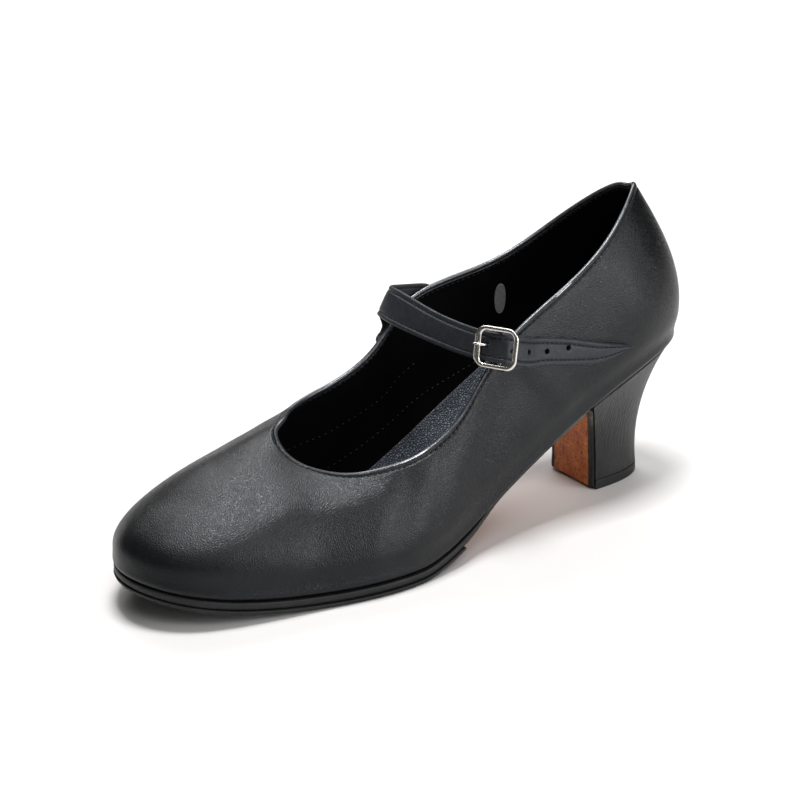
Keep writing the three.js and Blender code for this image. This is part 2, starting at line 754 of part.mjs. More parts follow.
const finish = (color, roughness, metalness = 0) =>
  new THREE.MeshStandardMaterial({ color, roughness, metalness });
const blackLeather = 0x26272a;
const pieces = {
  upper: [makeUpper(), finish(blackLeather, 0.45)],
  insole: [makeInsole(), finish(0x2c3038, 0.85)],
  outsole: [makeOutsole(), finish(0x96603f, 0.7)],
  half_sole: [makeHalfSole(), finish(0x1c1c1d, 0.75)],
  heel: [makeHeel(), finish(blackLeather, 0.45)],
  top_lift: [makeTopLift(), finish(0x161617, 0.7)],
  strap: [makeStrap(), finish(blackLeather, 0.45)],
  buckle_frame: [makeBuckleFrame(), finish(0xd8d2c8, 0.2, 1)],
  buckle_prong: [makeProng(), finish(0xd8d2c8, 0.2, 1)],
  buckle_tab: [makeTab(), finish(blackLeather, 0.5)],
};

const shoe = new THREE.Group();
for (const [name, [geometry, material]] of Object.entries(pieces)) {
  const mesh = new THREE.Mesh(geometry, material);
  mesh.name = name;
  if (name === "buckle_frame" || name === "buckle_prong") {
    mesh.applyMatrix4(frameMatrix(buckleFrame));
  }
  shoe.add(mesh);
}

// The origin is the middle of the footprint's box, on the floor.
const extent = new THREE.Box3().setFromObject(shoe);
const centre = extent.getCenter(new THREE.Vector3());
shoe.position.set(-centre.x, -centre.y, -extent.min.z);
const part = new THREE.Group();
part.add(shoe);

export default part;
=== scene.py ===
"""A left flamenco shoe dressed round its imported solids, with its light, floor and camera."""

import math

import bmesh
import bpy
import numpy as np
from mathutils import Matrix, Vector


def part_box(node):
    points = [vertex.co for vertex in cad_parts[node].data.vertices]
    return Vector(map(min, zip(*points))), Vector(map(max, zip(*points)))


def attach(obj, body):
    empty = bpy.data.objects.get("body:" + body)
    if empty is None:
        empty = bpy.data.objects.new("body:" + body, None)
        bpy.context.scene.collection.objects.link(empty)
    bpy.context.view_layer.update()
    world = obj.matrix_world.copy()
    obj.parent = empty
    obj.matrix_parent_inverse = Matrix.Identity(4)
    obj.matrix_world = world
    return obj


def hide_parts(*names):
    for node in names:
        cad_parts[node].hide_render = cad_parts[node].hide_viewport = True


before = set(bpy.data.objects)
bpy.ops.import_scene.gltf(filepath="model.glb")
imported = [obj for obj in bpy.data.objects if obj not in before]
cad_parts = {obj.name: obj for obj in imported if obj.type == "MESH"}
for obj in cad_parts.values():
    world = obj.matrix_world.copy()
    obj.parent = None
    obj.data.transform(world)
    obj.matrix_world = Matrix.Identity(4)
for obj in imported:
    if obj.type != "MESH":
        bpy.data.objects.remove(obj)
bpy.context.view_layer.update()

# Sizes in millimetres, as in the CAD source.
LAST_LENGTH = 240.0
BALL_WIDTH = 78.5
BACK_HEIGHT = 61.0
INSTEP_HEIGHT = 47.0
HEEL_RISE = 52.0
TOE_SPRING = 11.5
TREAD_BACK = 140.0
TREAD_FRONT = 165.0
WALL = 2.0
FIT_GAP = 0.3
LIFT_GAP = 0.1
INSOLE_THICKNESS = 2.5
OUTSOLE_THICKNESS = 3.0
WAIST_THICKNESS = 2.2
SOLE_EDGE = 1.3
WAIST_TUCK = 1.0
WAIST_FRONT = 118.0
WAIST_FADE = 24.0
SOLE_BEVEL = 0.8
HALF_SOLE_THICKNESS = 1.8
HALF_SOLE_BACK = 118.0
HEEL_TOP_LENGTH = 50.0
HEEL_FOOT_LENGTH = 27.5
HEEL_FOOT_WIDTH = 29.0
HEEL_FOOT_BACK = 11.9
HEEL_FOOT_ASIDE = 1.4
HEEL_INSET = 0.5
LIFT_HEIGHT = 4.0
LIFT_BEVEL = 0.6
FLAP_THICKNESS = 1.1
FLAP_FLOOR_GAP = 1.2
FLAP_MARGIN = 0.4
STRAP_THICKNESS = 2.0
HOLE_PITCH = 9.8
HOLE_RADIUS = 1.1
HOLE_DRIFTS = (0.7, -0.4, 0.0, 0.1, 1.6)
PRONG_HOLE = -4.2
FRAME_LENGTH = 15.0
FRAME_WIDTH = 14.0
FRAME_CORNER = 3.2
FRAME_BAR_WIDTH = 1.8
FRAME_BAR_HEIGHT = 1.6
REST_BAR_WIDTH = 2.5
CENTRE_BAR_RADIUS = 0.75
WIRE_RADIUS = 0.5
TAB_THICKNESS = 0.8
TAB_WIDTH = 10.0
TAB_GAP = 0.25
SLOT_WIDTH = 2.2
SEAT_SWEEP = 0.935
SEAT_POWER = 1.57
SEAT_HEIGHT = HALF_SOLE_THICKNESS + OUTSOLE_THICKNESS + 2 * FIT_GAP
HALF_BALL = BALL_WIDTH / 2
SIDE_HEIGHT = (BACK_HEIGHT + INSTEP_HEIGHT) / 2

# Columns of the upper, in the shares that the CAD source explains.
UPPER_ROWS = np.array([
    [0.0, 0.0, 0.05, -0.013, 1.035, 0, 0.205, 0.35, 0.25, 0.35],
    [0.021, 0.438, 0.067, 0.194, 1.07, 0, 0.215, 0.34, 0.33, 0.33],
    [0.115, 0.65, 0.154, 0.497, 0.965, 0, 0.15, 0.305, 0.23, 0.34],
    [0.235, 0.688, 0.265, 0.604, 0.912, 0, 0.102, 0.255, 0.102, 0.287],
    [0.377, 0.752, 0.385, 0.652, 0.894, 0, 0.102, 0.257, 0.102, 0.257],
    [0.498, 0.922, 0.481, 0.764, 0, 0.942, 0.102, 0.316, 0.127, 0.27],
    [0.619, 1.05, 0.575, 0.734, 0, 0.844, 0.102, 0.353, 0.204, 0.25],
    [0.74, 0.943, 0.649, 0.561, 0, 0.794, 0.097, 0.375, 0.306, 0.188],
    [0.856, 0.79, 0.692, 0.313, 0, 0.815, 0.076, 0.366, 0.51, 0.183],
    [0.954, 0.535, 0.715, 0.082, 0, 0.89, 0.087, 0.371, 0.764, 0.18],
    [1.0, 0.013, 0.715, -0.14, 0, 1.022, 0.165, 0.375, 0.9, 0.2],
    [0.969, -0.55, 0.688, -0.293, 0, 1.066, 0.225, 0.37, 0.74, 0.27],
    [0.89, -0.848, 0.665, -0.454, 0, 1.062, 0.165, 0.311, 0.49, 0.23],
    [0.767, -0.95, 0.627, -0.586, 0, 1.077, 0.107, 0.306, 0.295, 0.188],
    [0.642, -0.854, 0.564, -0.637, 0, 1.131, 0.102, 0.301, 0.204, 0.226],
    [0.5, -0.599, 0.482, -0.65, 0, 1.226, 0.127, 0.278, 0.102, 0.243],
    [0.375, -0.522, 0.398, -0.726, 1.043, 0, 0.153, 0.251, 0.051, 0.25],
    [0.233, -0.611, 0.263, -0.647, 0.889, 0, 0.127, 0.258, 0.076, 0.295],
    [0.115, -0.624, 0.151, -0.504, 0.897, 0, 0.122, 0.329, 0.153, 0.365],
    [0.022, -0.433, 0.065, -0.219, 1.017, 0, 0.183, 0.355, 0.229, 0.355],
])
COLUMNS = len(UPPER_ROWS)
# Columns halfway along the outer and inner side, from which a point of the upper is searched.
OUTER_SIDE = 3.6
INNER_SIDE = 15.6

# The CAD's origin is at the middle of its box: the lift shows where the heel's middle and back are.
lift_low, lift_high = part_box("top_lift")
SHIFT = np.array([
    (lift_low.x + lift_high.x) * 500.0 + HEEL_FOOT_ASIDE,
    lift_high.y * 1000.0 + HEEL_FOOT_BACK,
    0.0,
])


def at(f, s, z):
    """Points from f along the foot, s towards its outer side and height z, as X, Y, Z in mm."""
    f, s, z = np.broadcast_arrays(f, s, z)
    return np.stack([s, -f, z], -1).astype(float)


def unit(v):
    return v / np.maximum(np.linalg.norm(v, axis=-1, keepdims=True), 1e-12)


def bell(x, half_width):
    """A soft hump, 1 high where x is 0."""
    return np.exp(-((x / half_width) ** 2))


def full_turn(count):
    return np.linspace(0, 2 * math.pi, count, endpoint=False)


def run_of(line):
    """The length along a line up to each of its points."""
    return np.concatenate([[0], np.cumsum(np.linalg.norm(np.diff(line, axis=0), axis=1))])


def pick(values, run, where):
    """Values along a line at those lengths."""
    return np.stack([np.interp(where, run, values[:, k]) for k in range(3)], -1)


# ---- curves and surfaces ----


def spline(rows, closed):
    """A smooth line through rows of numbers, as a function of the place among them."""
    rows = np.asarray(rows, float)
    n = len(rows)
    a = np.zeros((n, n))
    for i in range(n):
        if not closed and i in (0, n - 1):
            a[i, i] = 1
            continue
        a[i, i] = 4 / 6
        a[i, (i - 1) % n] += 1 / 6
        a[i, (i + 1) % n] += 1 / 6
    c = np.linalg.solve(a, rows.reshape(n, -1))
    first, last = (c[-1:], c[:2]) if closed else (2 * c[:1] - c[1:2], 2 * c[-1:] - c[-2:-1])
    c = np.concatenate([first, c, last])

    def value(t):
        t = np.mod(t, n) if closed else np.asarray(t, float)
        i = np.clip(np.floor(t).astype(int), 0, n - 1 if closed else n - 2)
        u = (t - i)[..., None]
        return (
            (1 - u) ** 3 / 6 * c[i]
            + (3 * u**3 - 6 * u**2 + 4) / 6 * c[i + 1]
            + (-3 * u**3 + 3 * u**2 + 3 * u + 1) / 6 * c[i + 2]
            + u**3 / 6 * c[i + 3]
        )

    return value


def smooth_curve(rows, count):
    return spline(rows, False)(np.linspace(0, len(rows) - 1, count))


upper_row = spline(UPPER_ROWS, True)


def seat(f):
    f = np.asarray(f, float)
    quarter = math.pi / 2
    back = np.clip((TREAD_BACK - f) / TREAD_BACK, 0, 1.2)
    climb = np.sin(quarter * SEAT_SWEEP * back) / math.sin(quarter * SEAT_SWEEP)
    front = np.maximum(0, (f - TREAD_FRONT) / (LAST_LENGTH - TREAD_FRONT))
    return SEAT_HEIGHT + HEEL_RISE * climb**SEAT_POWER + TOE_SPRING * front**2


def feather(t):
    row = upper_row(t)
    f = row[..., 0] * LAST_LENGTH
    return at(f, row[..., 1] * HALF_BALL, seat(f))


def outward(t):
    run = feather(t + 0.01) - feather(t - 0.01)
    return unit(np.stack([-run[..., 1], run[..., 0], 0 * run[..., 0]], -1))


def upper(t, w):
    """Outer face of the upper at column t, from the feather line at w = 0 to the collar at w = 1."""
    t, w = np.broadcast_arrays(np.asarray(t, float), np.asarray(w, float))
    row = upper_row(t)
    foot = feather(t)
    lift = row[..., 4] * BACK_HEIGHT + row[..., 5] * INSTEP_HEIGHT
    f = row[..., 2] * LAST_LENGTH
    collar = at(f, row[..., 3] * HALF_BALL, seat(f) + lift)
    out = outward(t)
    rise = at(0, 0, 1)
    low = foot + out * (row[..., 6] * HALF_BALL)[..., None] + rise * (row[..., 7] * lift)[..., None]
    high = collar + out * (row[..., 8] * HALF_BALL)[..., None] - rise * (row[..., 9] * lift)[..., None]
    w = w[..., None]
    return (1 - w) ** 3 * foot + 3 * (1 - w) ** 2 * w * low + 3 * (1 - w) * w**2 * high + w**3 * collar


def upper_normal(t, w):
    step = 0.01
    t, w = np.broadcast_arrays(np.asarray(t, float), np.asarray(w, float))
    up = upper(t, np.minimum(1, w + step)) - upper(t, np.maximum(0, w - step))
    around = upper(t + step, w) - upper(t - step, w)
    return unit(np.cross(up, around))


def locate(side, f, z):
    """The column and share of height of the outer face at each f and z, on that column's side."""
    f, z = np.broadcast_arrays(np.asarray(f, float), np.asarray(z, float))
    t = np.full(f.shape, float(side))
    w = np.full(f.shape, 0.6)
    step = 0.02
    for _ in range(12):
        here = upper(t, w)
        around = (upper(t + step, w) - here) / step
        up = (upper(t, w + step) - here) / step
        miss_f = -f - here[..., 1]
        miss_z = z - here[..., 2]
        area = around[..., 1] * up[..., 2] - around[..., 2] * up[..., 1]
        t = t + (miss_f * up[..., 2] - miss_z * up[..., 1]) / area
        w = w + (miss_z * around[..., 1] - miss_f * around[..., 2]) / area
    return t, w


def on_upper(side, f, z, lift):
    """The point of the outer face at each f and z, lifted off it, on the side of that column."""
    t, w = locate(side, f, z)
    return upper(t, w) + upper_normal(t, np.minimum(w, 1)) * lift


def height_of(along, share):
    return seat(along * LAST_LENGTH) + share * SIDE_HEIGHT


# ---- meshes ----


def linked(name, data):
    """A new object in the scene."""
    obj = bpy.data.objects.new(name, data)
    bpy.context.scene.collection.objects.link(obj)
    return obj


def new_mesh(name, verts, faces):
    """A mesh from points in mm, in the frame's place."""
    mesh = bpy.data.meshes.new(name)
    mesh.from_pydata(((np.asarray(verts) + SHIFT) / 1000).tolist(), [], [list(face) for face in faces])
    return mesh


def face_out(mesh, weld=False):
    """Turns the faces outwards, after welding points that meet."""
    work = bmesh.new()
    work.from_mesh(mesh)
    if weld:
        bmesh.ops.remove_doubles(work, verts=work.verts, dist=2e-6)
        bmesh.ops.dissolve_degenerate(work, edges=work.edges, dist=1e-6)
    bmesh.ops.recalc_face_normals(work, faces=work.faces)
    work.to_mesh(mesh)
    work.free()


def make_object(name, verts, faces, materials, face_materials=None, attributes=None, sharp=40):
    """A smooth-shaded mesh object from points in mm, in the frame's place, riding on the root."""
    mesh = new_mesh(name, verts, faces)
    for material in materials:
        mesh.materials.append(material)
    if face_materials is not None:
        mesh.polygons.foreach_set("material_index", np.asarray(face_materials, np.int32))
    for key, values in (attributes or {}).items():
        layer = mesh.attributes.new(key, "FLOAT", "POINT")
        layer.data.foreach_set("value", np.asarray(values, np.float32))
    mesh.update()
    face_out(mesh, weld=True)
    mesh.polygons.foreach_set("use_smooth", np.ones(len(mesh.polygons), bool))
    mesh.set_sharp_from_angle(angle=math.radians(sharp))
    obj = linked(name, mesh)
    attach(obj, "root")
    return obj


def grid_faces(rows, columns, closed_rows, closed_columns):
    spans = rows if closed_rows else rows - 1
    gaps = columns if closed_columns else columns - 1
    i = np.repeat(np.arange(spans), gaps)
    k = np.tile(np.arange(gaps), spans)
    j, m = (i + 1) % rows, (k + 1) % columns
    return np.stack([i * columns + k, i * columns + m, j * columns + m, j * columns + k], -1), k


def tube(points, radii, sides, closed, flat):
    """Rings of a round tube along a line, whose first sides lie across the direction flat."""
    points = np.asarray(points, float)
    run = np.roll(points, -1, 0) - np.roll(points, 1, 0)
    if not closed:
        run[0], run[-1] = points[1] - points[0], points[-1] - points[-2]
    run = unit(run)
    side = unit(np.cross(run, np.broadcast_to(np.asarray(flat, float), points.shape)))
    up = np.cross(side, run)
    angle = full_turn(sides)[None, :, None]
    radii = np.broadcast_to(radii, len(points))[:, None, None]
    return points[:, None] + radii * (np.cos(angle) * side[:, None] + np.sin(angle) * up[:, None])


def closed_tube(rings):
    """Vertices and faces of rings that meet end to end."""
    return rings.reshape(-1, 3), grid_faces(*rings.shape[:2], True, True)[0].tolist()


def capped(rings):
    """Vertices and faces of open rings with a fan at both ends."""
    n, size = rings.shape[:2]
    verts = np.concatenate([rings.reshape(-1, 3), rings[:1].mean(1), rings[-1:].mean(1)])
    faces = grid_faces(n, size, False, True)[0].tolist()
    last = (n - 1) * size
    for k in range(size):
        m = (k + 1) % size
        faces.append([m, k, n * size])
        faces.append([last + k, last + m, n * size + 1])
    return verts, faces


def joined(parts):
    """Several (verts, faces) as one."""
    verts, faces, start = [], [], 0
    for some_verts, some_faces in parts:
        verts.append(some_verts)
        faces += [[index + start for index in face] for face in some_faces]
        start += len(some_verts)
    return np.concatenate(verts), faces


def along_line(line, normals, run, places):
    """Points, tangents and normals at those lengths along a line."""
    step = 0.3
    ahead = pick(line, run, np.minimum(places + step, run[-1]))
    ahead -= pick(line, run, np.maximum(places - step, 0))
    return pick(line, run, places), unit(ahead), unit(pick(normals, run, places))


# Rings of a stitch: share of its length, width and height in radii.
STITCH_RINGS = np.array([
    (-0.5, 0.3, -1.1), (-0.36, 0.8, -0.2), (0.0, 1.0, 0.2), (0.36, 0.8, -0.2), (0.5, 0.3, -1.1)
])


def stitches(name, lines, pitch, length, radius, sink, material):
    """Threads that dip in and out along lines: each line is its points and the normals there."""
    angle = full_turn(8)[:, None]
    parts = []
    for line, normals in lines:
        run = run_of(line)
        count = max(1, int(run[-1] // pitch))
        for centre in (np.arange(count) + 0.5) * run[-1] / count:
            places = np.clip(centre + STITCH_RINGS[:, 0] * length, 0, run[-1])
            place, ahead, out = along_line(line, normals, run, places)
            side = np.cross(ahead, out)
            rings = []
            for n, (_, width, height) in enumerate(STITCH_RINGS):
                middle = place[n] + out[n] * (height * radius - sink)
                rings.append(middle + radius * width * (np.cos(angle) * side[n] + np.sin(angle) * out[n]))
            parts.append(capped(np.array(rings)))
    verts, faces = joined(parts)
    return make_object(name, verts, faces, [material], sharp=80)


# ---- materials ----


def opaque(color):
    """A plain colour with its alpha; a socket stays as it is."""
    return (*color, 1) if isinstance(color, tuple) else color


class Shader:
    """A material's nodes, added one by one."""

    def __init__(self, name, specular=0.5, metallic=0.0):
        self.material = bpy.data.materials.new(name)
        self.material.use_nodes = True
        self.tree = self.material.node_tree
        self.body = self.tree.nodes["Principled BSDF"]
        self.feed(self.body, {"Metallic": metallic, "Specular IOR Level": specular})
        self.place = self.node("TexCoord", {}, "Object")

    def feed(self, node, inputs):
        """Links or sets inputs of a node."""
        for key, value in inputs.items():
            if isinstance(value, bpy.types.NodeSocket):
                self.tree.links.new(value, node.inputs[key])
            else:
                node.inputs[key].default_value = value

    def node(self, kind, inputs, output, **settings):
        """One output of a new node."""
        node = self.tree.nodes.new("ShaderNode" + kind)
        for key, value in settings.items():
            setattr(node, key, value)
        self.feed(node, inputs)
        return node.outputs[output]

    def noise(self, scale, detail=3.0, roughness=0.55, source=None, distortion=0.0):
        inputs = {"Vector": source or self.place, "Scale": scale, "Detail": detail}
        return self.node("TexNoise", {**inputs, "Roughness": roughness, "Distortion": distortion}, "Fac")

    def strokes(self, scale, detail, turn=(0, 0, 0), distortion=0.0):
        """Noise with its own scale along each axis."""
        place = self.node("Mapping", {"Vector": self.place, "Scale": scale, "Rotation": turn}, "Vector")
        return self.noise(1, detail, source=place, distortion=distortion)

    def cells(self, scale):
        inputs = {"Vector": self.place, "Scale": scale}
        return self.node("TexVoronoi", inputs, "Distance", feature="DISTANCE_TO_EDGE")

    def attribute(self, name):
        return self.node("Attribute", {}, "Fac", attribute_name=name)

    def remap(self, value, low, high, to_low=0.0, to_high=1.0):
        inputs = {"Value": value, "From Min": low, "From Max": high, "To Min": to_low, "To Max": to_high}
        return self.node("MapRange", inputs, "Result")

    def rough(self, noise, low, high):
        """Roughness from low to high over the middle of a noise's range."""
        return self.remap(noise, 0.3, 0.7, low, high)

    def math(self, operation, a, b):
        return self.node("Math", {0: a, 1: b}, "Value", operation=operation)

    def times(self, a, b):
        return self.math("MULTIPLY", a, b)

    def total(self, *terms):
        """The sum of values, each with its weight before it."""
        parts = [value if weight == 1 else self.times(value, weight) for weight, value in terms]
        whole = parts[0]
        for part in parts[1:]:
            whole = self.math("ADD", whole, part)
        return whole

    def ramp(self, value, stops):
        color = self.node("ValToRGB", {"Fac": value}, "Color")
        elements = color.node.color_ramp.elements
        while len(elements) < len(stops):
            elements.new(0.5)
        for element, (place, shade) in zip(elements, stops):
            element.position = place
            element.color = opaque(shade)
        return color

    def mix(self, share, one, other):
        return self.node("Mix", {0: share, 6: opaque(one), 7: opaque(other)}, 2, data_type="RGBA")

    def bump(self, height, strength, distance, under=None):
        inputs = {"Height": height, "Strength": strength, "Distance": distance}
        return self.node("Bump", {**inputs, "Normal": under} if under else inputs, "Normal")

    def finish(self, color, roughness, normal):
        self.feed(self.body, {"Base Color": color, "Roughness": roughness, "Normal": normal})
        return self.material


LEATHER_TINT = (0.92, 0.955, 1.0, 1)


def leather(name, dark, light, rough_low, rough_high, grain, hair, cell=1500.0, specular=0.28):
    """Fine-grained black leather: small pebbles, stretched hair lines, soft cloudy wear."""
    shade = Shader(name, specular)
    shade.feed(shade.body, {"Specular Tint": LEATHER_TINT})
    pebbles = shade.remap(shade.cells(cell), 0.0, 0.28)
    lines = shade.strokes((2100, 330, 520), 3, (0.5, 0.35, 0.6), 0.6)
    cloud = shade.noise(26)
    normal = shade.bump(shade.total((0.6, pebbles), (0.5, shade.noise(2600))), grain, 0.0003)
    normal = shade.bump(lines, hair, 0.0003, normal)
    normal = shade.bump(shade.noise(60, 2), 0.3, 0.0012, normal)
    tone = shade.total((0.6, cloud), (0.4, shade.noise(420, 2)))
    color = shade.mix(shade.remap(tone, 0.35, 0.65), dark, light)
    gloss = shade.total((0.35, cloud), (0.25, lines), (0.4, shade.noise(1300, 2)))
    return shade.finish(color, shade.remap(gloss, 0.38, 0.62, rough_low, rough_high), normal)


TAN_STOPS = [
    (0.0, (0.24, 0.055, 0.01)),
    (0.4, (0.53, 0.148, 0.028)),
    (0.75, (0.72, 0.24, 0.055)),
    (1.0, (0.85, 0.36, 0.12)),
]


def tan_leather(name):
    """Undyed sole leather: mottled, with dark specks, black where it nears a trimmed edge."""
    shade = Shader(name, 0.35)
    cloud = shade.noise(75, 5, 0.65, distortion=0.4)
    blotch = shade.noise(260, 4, 0.6)
    tone = shade.total((0.55, cloud), (0.3, blotch), (0.15, shade.strokes((900, 900, 130), 3)))
    color = shade.ramp(shade.remap(tone, 0.33, 0.68), TAN_STOPS)
    speck = shade.remap(shade.noise(900, 5, 0.75), 0.4, 0.48, 1.0, 0.0)
    color = shade.mix(shade.times(speck, 0.8), color, (0.055, 0.02, 0.01))
    height = shade.attribute("height")
    # Darker and blotchier towards the bottom of the sole's face.
    height_mask = shade.times(shade.remap(height, 0.0, 40.0, 0.55, 0.0), shade.remap(blotch, 0.35, 0.6))
    color = shade.mix(height_mask, color, (0.1, 0.035, 0.016))
    corner = shade.math("POWER", shade.remap(height, 33.0, 42.0), 2.4)
    edge = shade.total((1, shade.attribute("edge")), (-1.1, shade.noise(450, 4)), (-5.5, corner))
    color = shade.mix(shade.remap(edge, -0.3, 0.15, 1.0, 0.0), color, (0.008, 0.008, 0.009))
    normal = shade.bump(shade.noise(900, 5, 0.7), 0.5, 0.00025)
    normal = shade.bump(blotch, 0.3, 0.0006, normal)
    return shade.finish(color, shade.rough(blotch, 0.5, 0.75), normal)


def rubber(name, color, rough, stripe, fold=None):
    """Matt black rubber or edge paint, with the fine lines of a trimmed edge, and a painted highlight
    greying it towards the top where a fold colour is given.
    """
    shade = Shader(name, 0.3)
    fine = shade.noise(1500, 4, 0.6)
    normal = shade.bump(shade.strokes((160, 160, stripe), 3), 0.5, 0.0004)
    normal = shade.bump(fine, 0.6, 0.0003, normal)
    tone = shade.remap(shade.noise(180, 4), 0.35, 0.7)
    shades = shade.mix(tone, color, tuple(1.7 * c for c in color))
    # Painted highlight: from 27 mm up, the paint is mixed towards the fold colour, as if its rounded fold
    # caught the light.
    if fold:
        height_mask = shade.times(shade.remap(shade.attribute("height"), 27, 36), shade.remap(tone, 0.1, 0.8))
        shades = shade.mix(height_mask, shades, fold)
    return shade.finish(shades, shade.rough(fine, rough - 0.08, rough + 0.1), normal)


def sock(name):
    """Pebbled dark sock lining, with painted highlights on the pebbles and painted shade between them."""
    shade = Shader(name, 0.4)
    pebbles = shade.remap(shade.cells(1050), 0.0, 0.3)
    fine = shade.noise(2400)
    normal = shade.bump(shade.total((1, pebbles), (0.5, fine)), 1.0, 0.0004)
    # Painted highlight and shade: the pebble tops are light and the gaps between them dark, following the
    # bump.
    color = shade.mix(pebbles, (0.008, 0.0095, 0.012), (0.15, 0.175, 0.215))
    return shade.finish(color, shade.rough(fine, 0.5, 0.72), normal)


def cloth_patch(name):
    """Plain pale grey woven tape."""
    shade = Shader(name, 0.25)
    warp, weft = shade.strokes((3200, 3200, 700), 2), shade.strokes((700, 700, 3600), 2)
    weave = shade.total((0.5, warp), (0.5, weft))
    color = shade.mix(shade.remap(weave, 0.35, 0.65), (0.16, 0.16, 0.16), (0.3, 0.3, 0.3))
    return shade.finish(color, shade.rough(weave, 0.7, 0.9), shade.bump(weave, 0.6, 0.0002))


def lining(name):
    """Matt black lining of brushed leather."""
    shade = Shader(name, 0.06)
    nap = shade.noise(2000, 4, 0.65)
    color = shade.mix(shade.noise(120), (0.0008, 0.0008, 0.001), (0.002, 0.002, 0.0024))
    return shade.finish(color, shade.rough(nap, 0.82, 0.97), shade.bump(nap, 0.4, 0.0002))


def nickel(name):
    """Polished warm nickel with faint rubbing marks."""
    shade = Shader(name, metallic=1.0)
    marks = shade.strokes((2600, 500, 2600), 4)
    color = shade.mix(shade.noise(240), (0.62, 0.58, 0.53), (0.86, 0.83, 0.78))
    return shade.finish(color, shade.rough(marks, 0.12, 0.3), shade.bump(marks, 0.08, 0.0001))


def thread(name, color):
    """Twisted thread."""
    shade = Shader(name, 0.3)
    twist = shade.strokes((5200, 5200, 2400), 2, (0.4, 0.2, 0.8))
    shades = shade.mix(twist, color, tuple(1.8 * c for c in color))
    return shade.finish(shades, shade.rough(twist, 0.6, 0.85), shade.bump(twist, 0.6, 0.00012))


def stretched_leather(name):
    """Leather pulled over the heel: its grain lines run down it and bend with its sides."""
    shade = Shader(name, 0.35)
    around, height = shade.attribute("around"), shade.attribute("height")
    across = shade.total((1, around), (9.0, shade.noise(55, 2)), (0.22, height))
    place = shade.node("CombineXYZ", {"X": across, "Y": shade.times(height, 0.09)}, "Vector")
    wide = shade.noise(0.85, 3, 0.6, place)
    narrow = shade.noise(2.6, 3, 0.6, place)
    normal = shade.bump(shade.noise(2300), 0.4, 0.0002)
    normal = shade.bump(narrow, 0.7, 0.0007, normal)
    normal = shade.bump(wide, 0.65, 0.0013, normal)
    tone = shade.remap(shade.noise(60), 0.35, 0.65)
    color = shade.mix(tone, (0.0085, 0.0085, 0.009), (0.017, 0.017, 0.0175))
    height_mask = shade.remap(height, 2.0, 10.0, 1.0, 0.0)
    return shade.finish(color, shade.total((1, shade.rough(narrow, 0.34, 0.5)), (0.12, height_mask)), normal)


# Each leather's dark and light colour, its lowest and highest roughness, grain, hair and cell size.
black = leather(
    "upper_leather_grain", (0.0014, 0.0015, 0.0018), (0.0036, 0.0038, 0.0043), 0.25, 0.4, 0.32, 0.12, 1250
)
strap_black = leather(
    "strap_leather_grain", (0.01, 0.0115, 0.0145), (0.02, 0.022, 0.0265), 0.32, 0.48, 0.32, 0.14, 1250
)
# Lighter than the upper's leather that it is rolled from: a painted highlight along the collar's rolled
# edge.
rim_highlit_black = leather(
    "collar_edge_leather", (0.012, 0.0125, 0.014), (0.03, 0.031, 0.034), 0.2, 0.28, 0.06, 0.05, specular=0.7
)
strap_lining = leather(
    "strap_lining", (0.006, 0.006, 0.007), (0.011, 0.011, 0.0125), 0.5, 0.65, 0.3, 0.1, 2000
)
heel_black = stretched_leather("heel_leather_stretch")
tan = tan_leather("sole_leather")
# The edge paint's last colour is a painted highlight that greys it towards the top, round the fold over the
# heel's front.
edge_black = rubber("edge_paint", (0.007, 0.007, 0.0075), 0.5, 1900, (0.09, 0.09, 0.07))
sole_black = rubber("half_sole_rubber", (0.0085, 0.0085, 0.009), 0.62, 1400)
lift_black = rubber("lift_rubber_finish", (0.0065, 0.0065, 0.007), 0.5, 1500)
sock_finish = sock("sock_leather")
patch_finish = cloth_patch("patch_weave")
lining_finish = lining("lining_leather")
metal = nickel("polished_nickel")
thread_finish = thread("black_thread", (0.0028, 0.0028, 0.003))
thread_pale = thread("grey_thread", (0.014, 0.0145, 0.016))

# ---- upper ----

# Soft ridges and troughs, as the leather lies: points as f, s, z in mm, half width, height.
CREASES = [
    ([(238, -3, 28), (230, 16, 27), (212, 27, 25), (191, 33, 23)], 8.0, 0.75),
    ([(222, -13, 37), (212, 7, 40), (196, 16, 40)], 9.0, -0.5),
    ([(187, 24, 36), (173, 29, 33), (157, 32, 35)], 6.5, 0.6),
    ([(174, 33, 28), (182, 36, 18)], 8.0, -0.4),
    ([(147, 32, 39), (157, 39, 24), (160, 40, 17)], 4.0, 0.32),
    ([(140, 33, 39), (149, 41, 22), (152, 41, 15)], 4.0, -0.32),
    ([(131, 33, 41), (139, 41, 22)], 4.5, 0.35),
    ([(124, 33, 44), (130, 39, 25)], 5.0, -0.3),
    ([(94, 30, 58), (111, 36, 32)], 11.0, -1.4),
    ([(102, 31, 60), (88, 32, 38)], 5.0, -0.3),
    ([(78, 28, 67), (70, 30, 56), (65, 29, 50)], 5.5, 0.5),
    ([(86, 28, 64), (77, 31, 50)], 4.0, -0.28),
    ([(58, 25, 88), (66, 26, 78)], 7.0, 0.3),
    ([(47, 27, 86), (40, 29, 70)], 9.0, -0.45),
    ([(30, 27, 92), (24, 28, 74)], 8.0, 0.4),
    ([(199, -4, 46), (189, -20, 42), (176, -33, 28)], 7.0, -0.4),
    ([(165, -24, 46), (158, -36, 28)], 5.0, 0.4),
    ([(150, -28, 48), (144, -37, 28)], 5.0, -0.4),
    ([(136, -29, 52), (130, -32, 32)], 5.0, 0.35),
    ([(96, -30, 60), (86, -26, 44)], 8.0, -0.5),
    ([(52, -27, 80), (44, -27, 66)], 8.0, 0.4),
    ([(12, -16, 100), (9, -21, 78)], 6.0, -0.35),
]


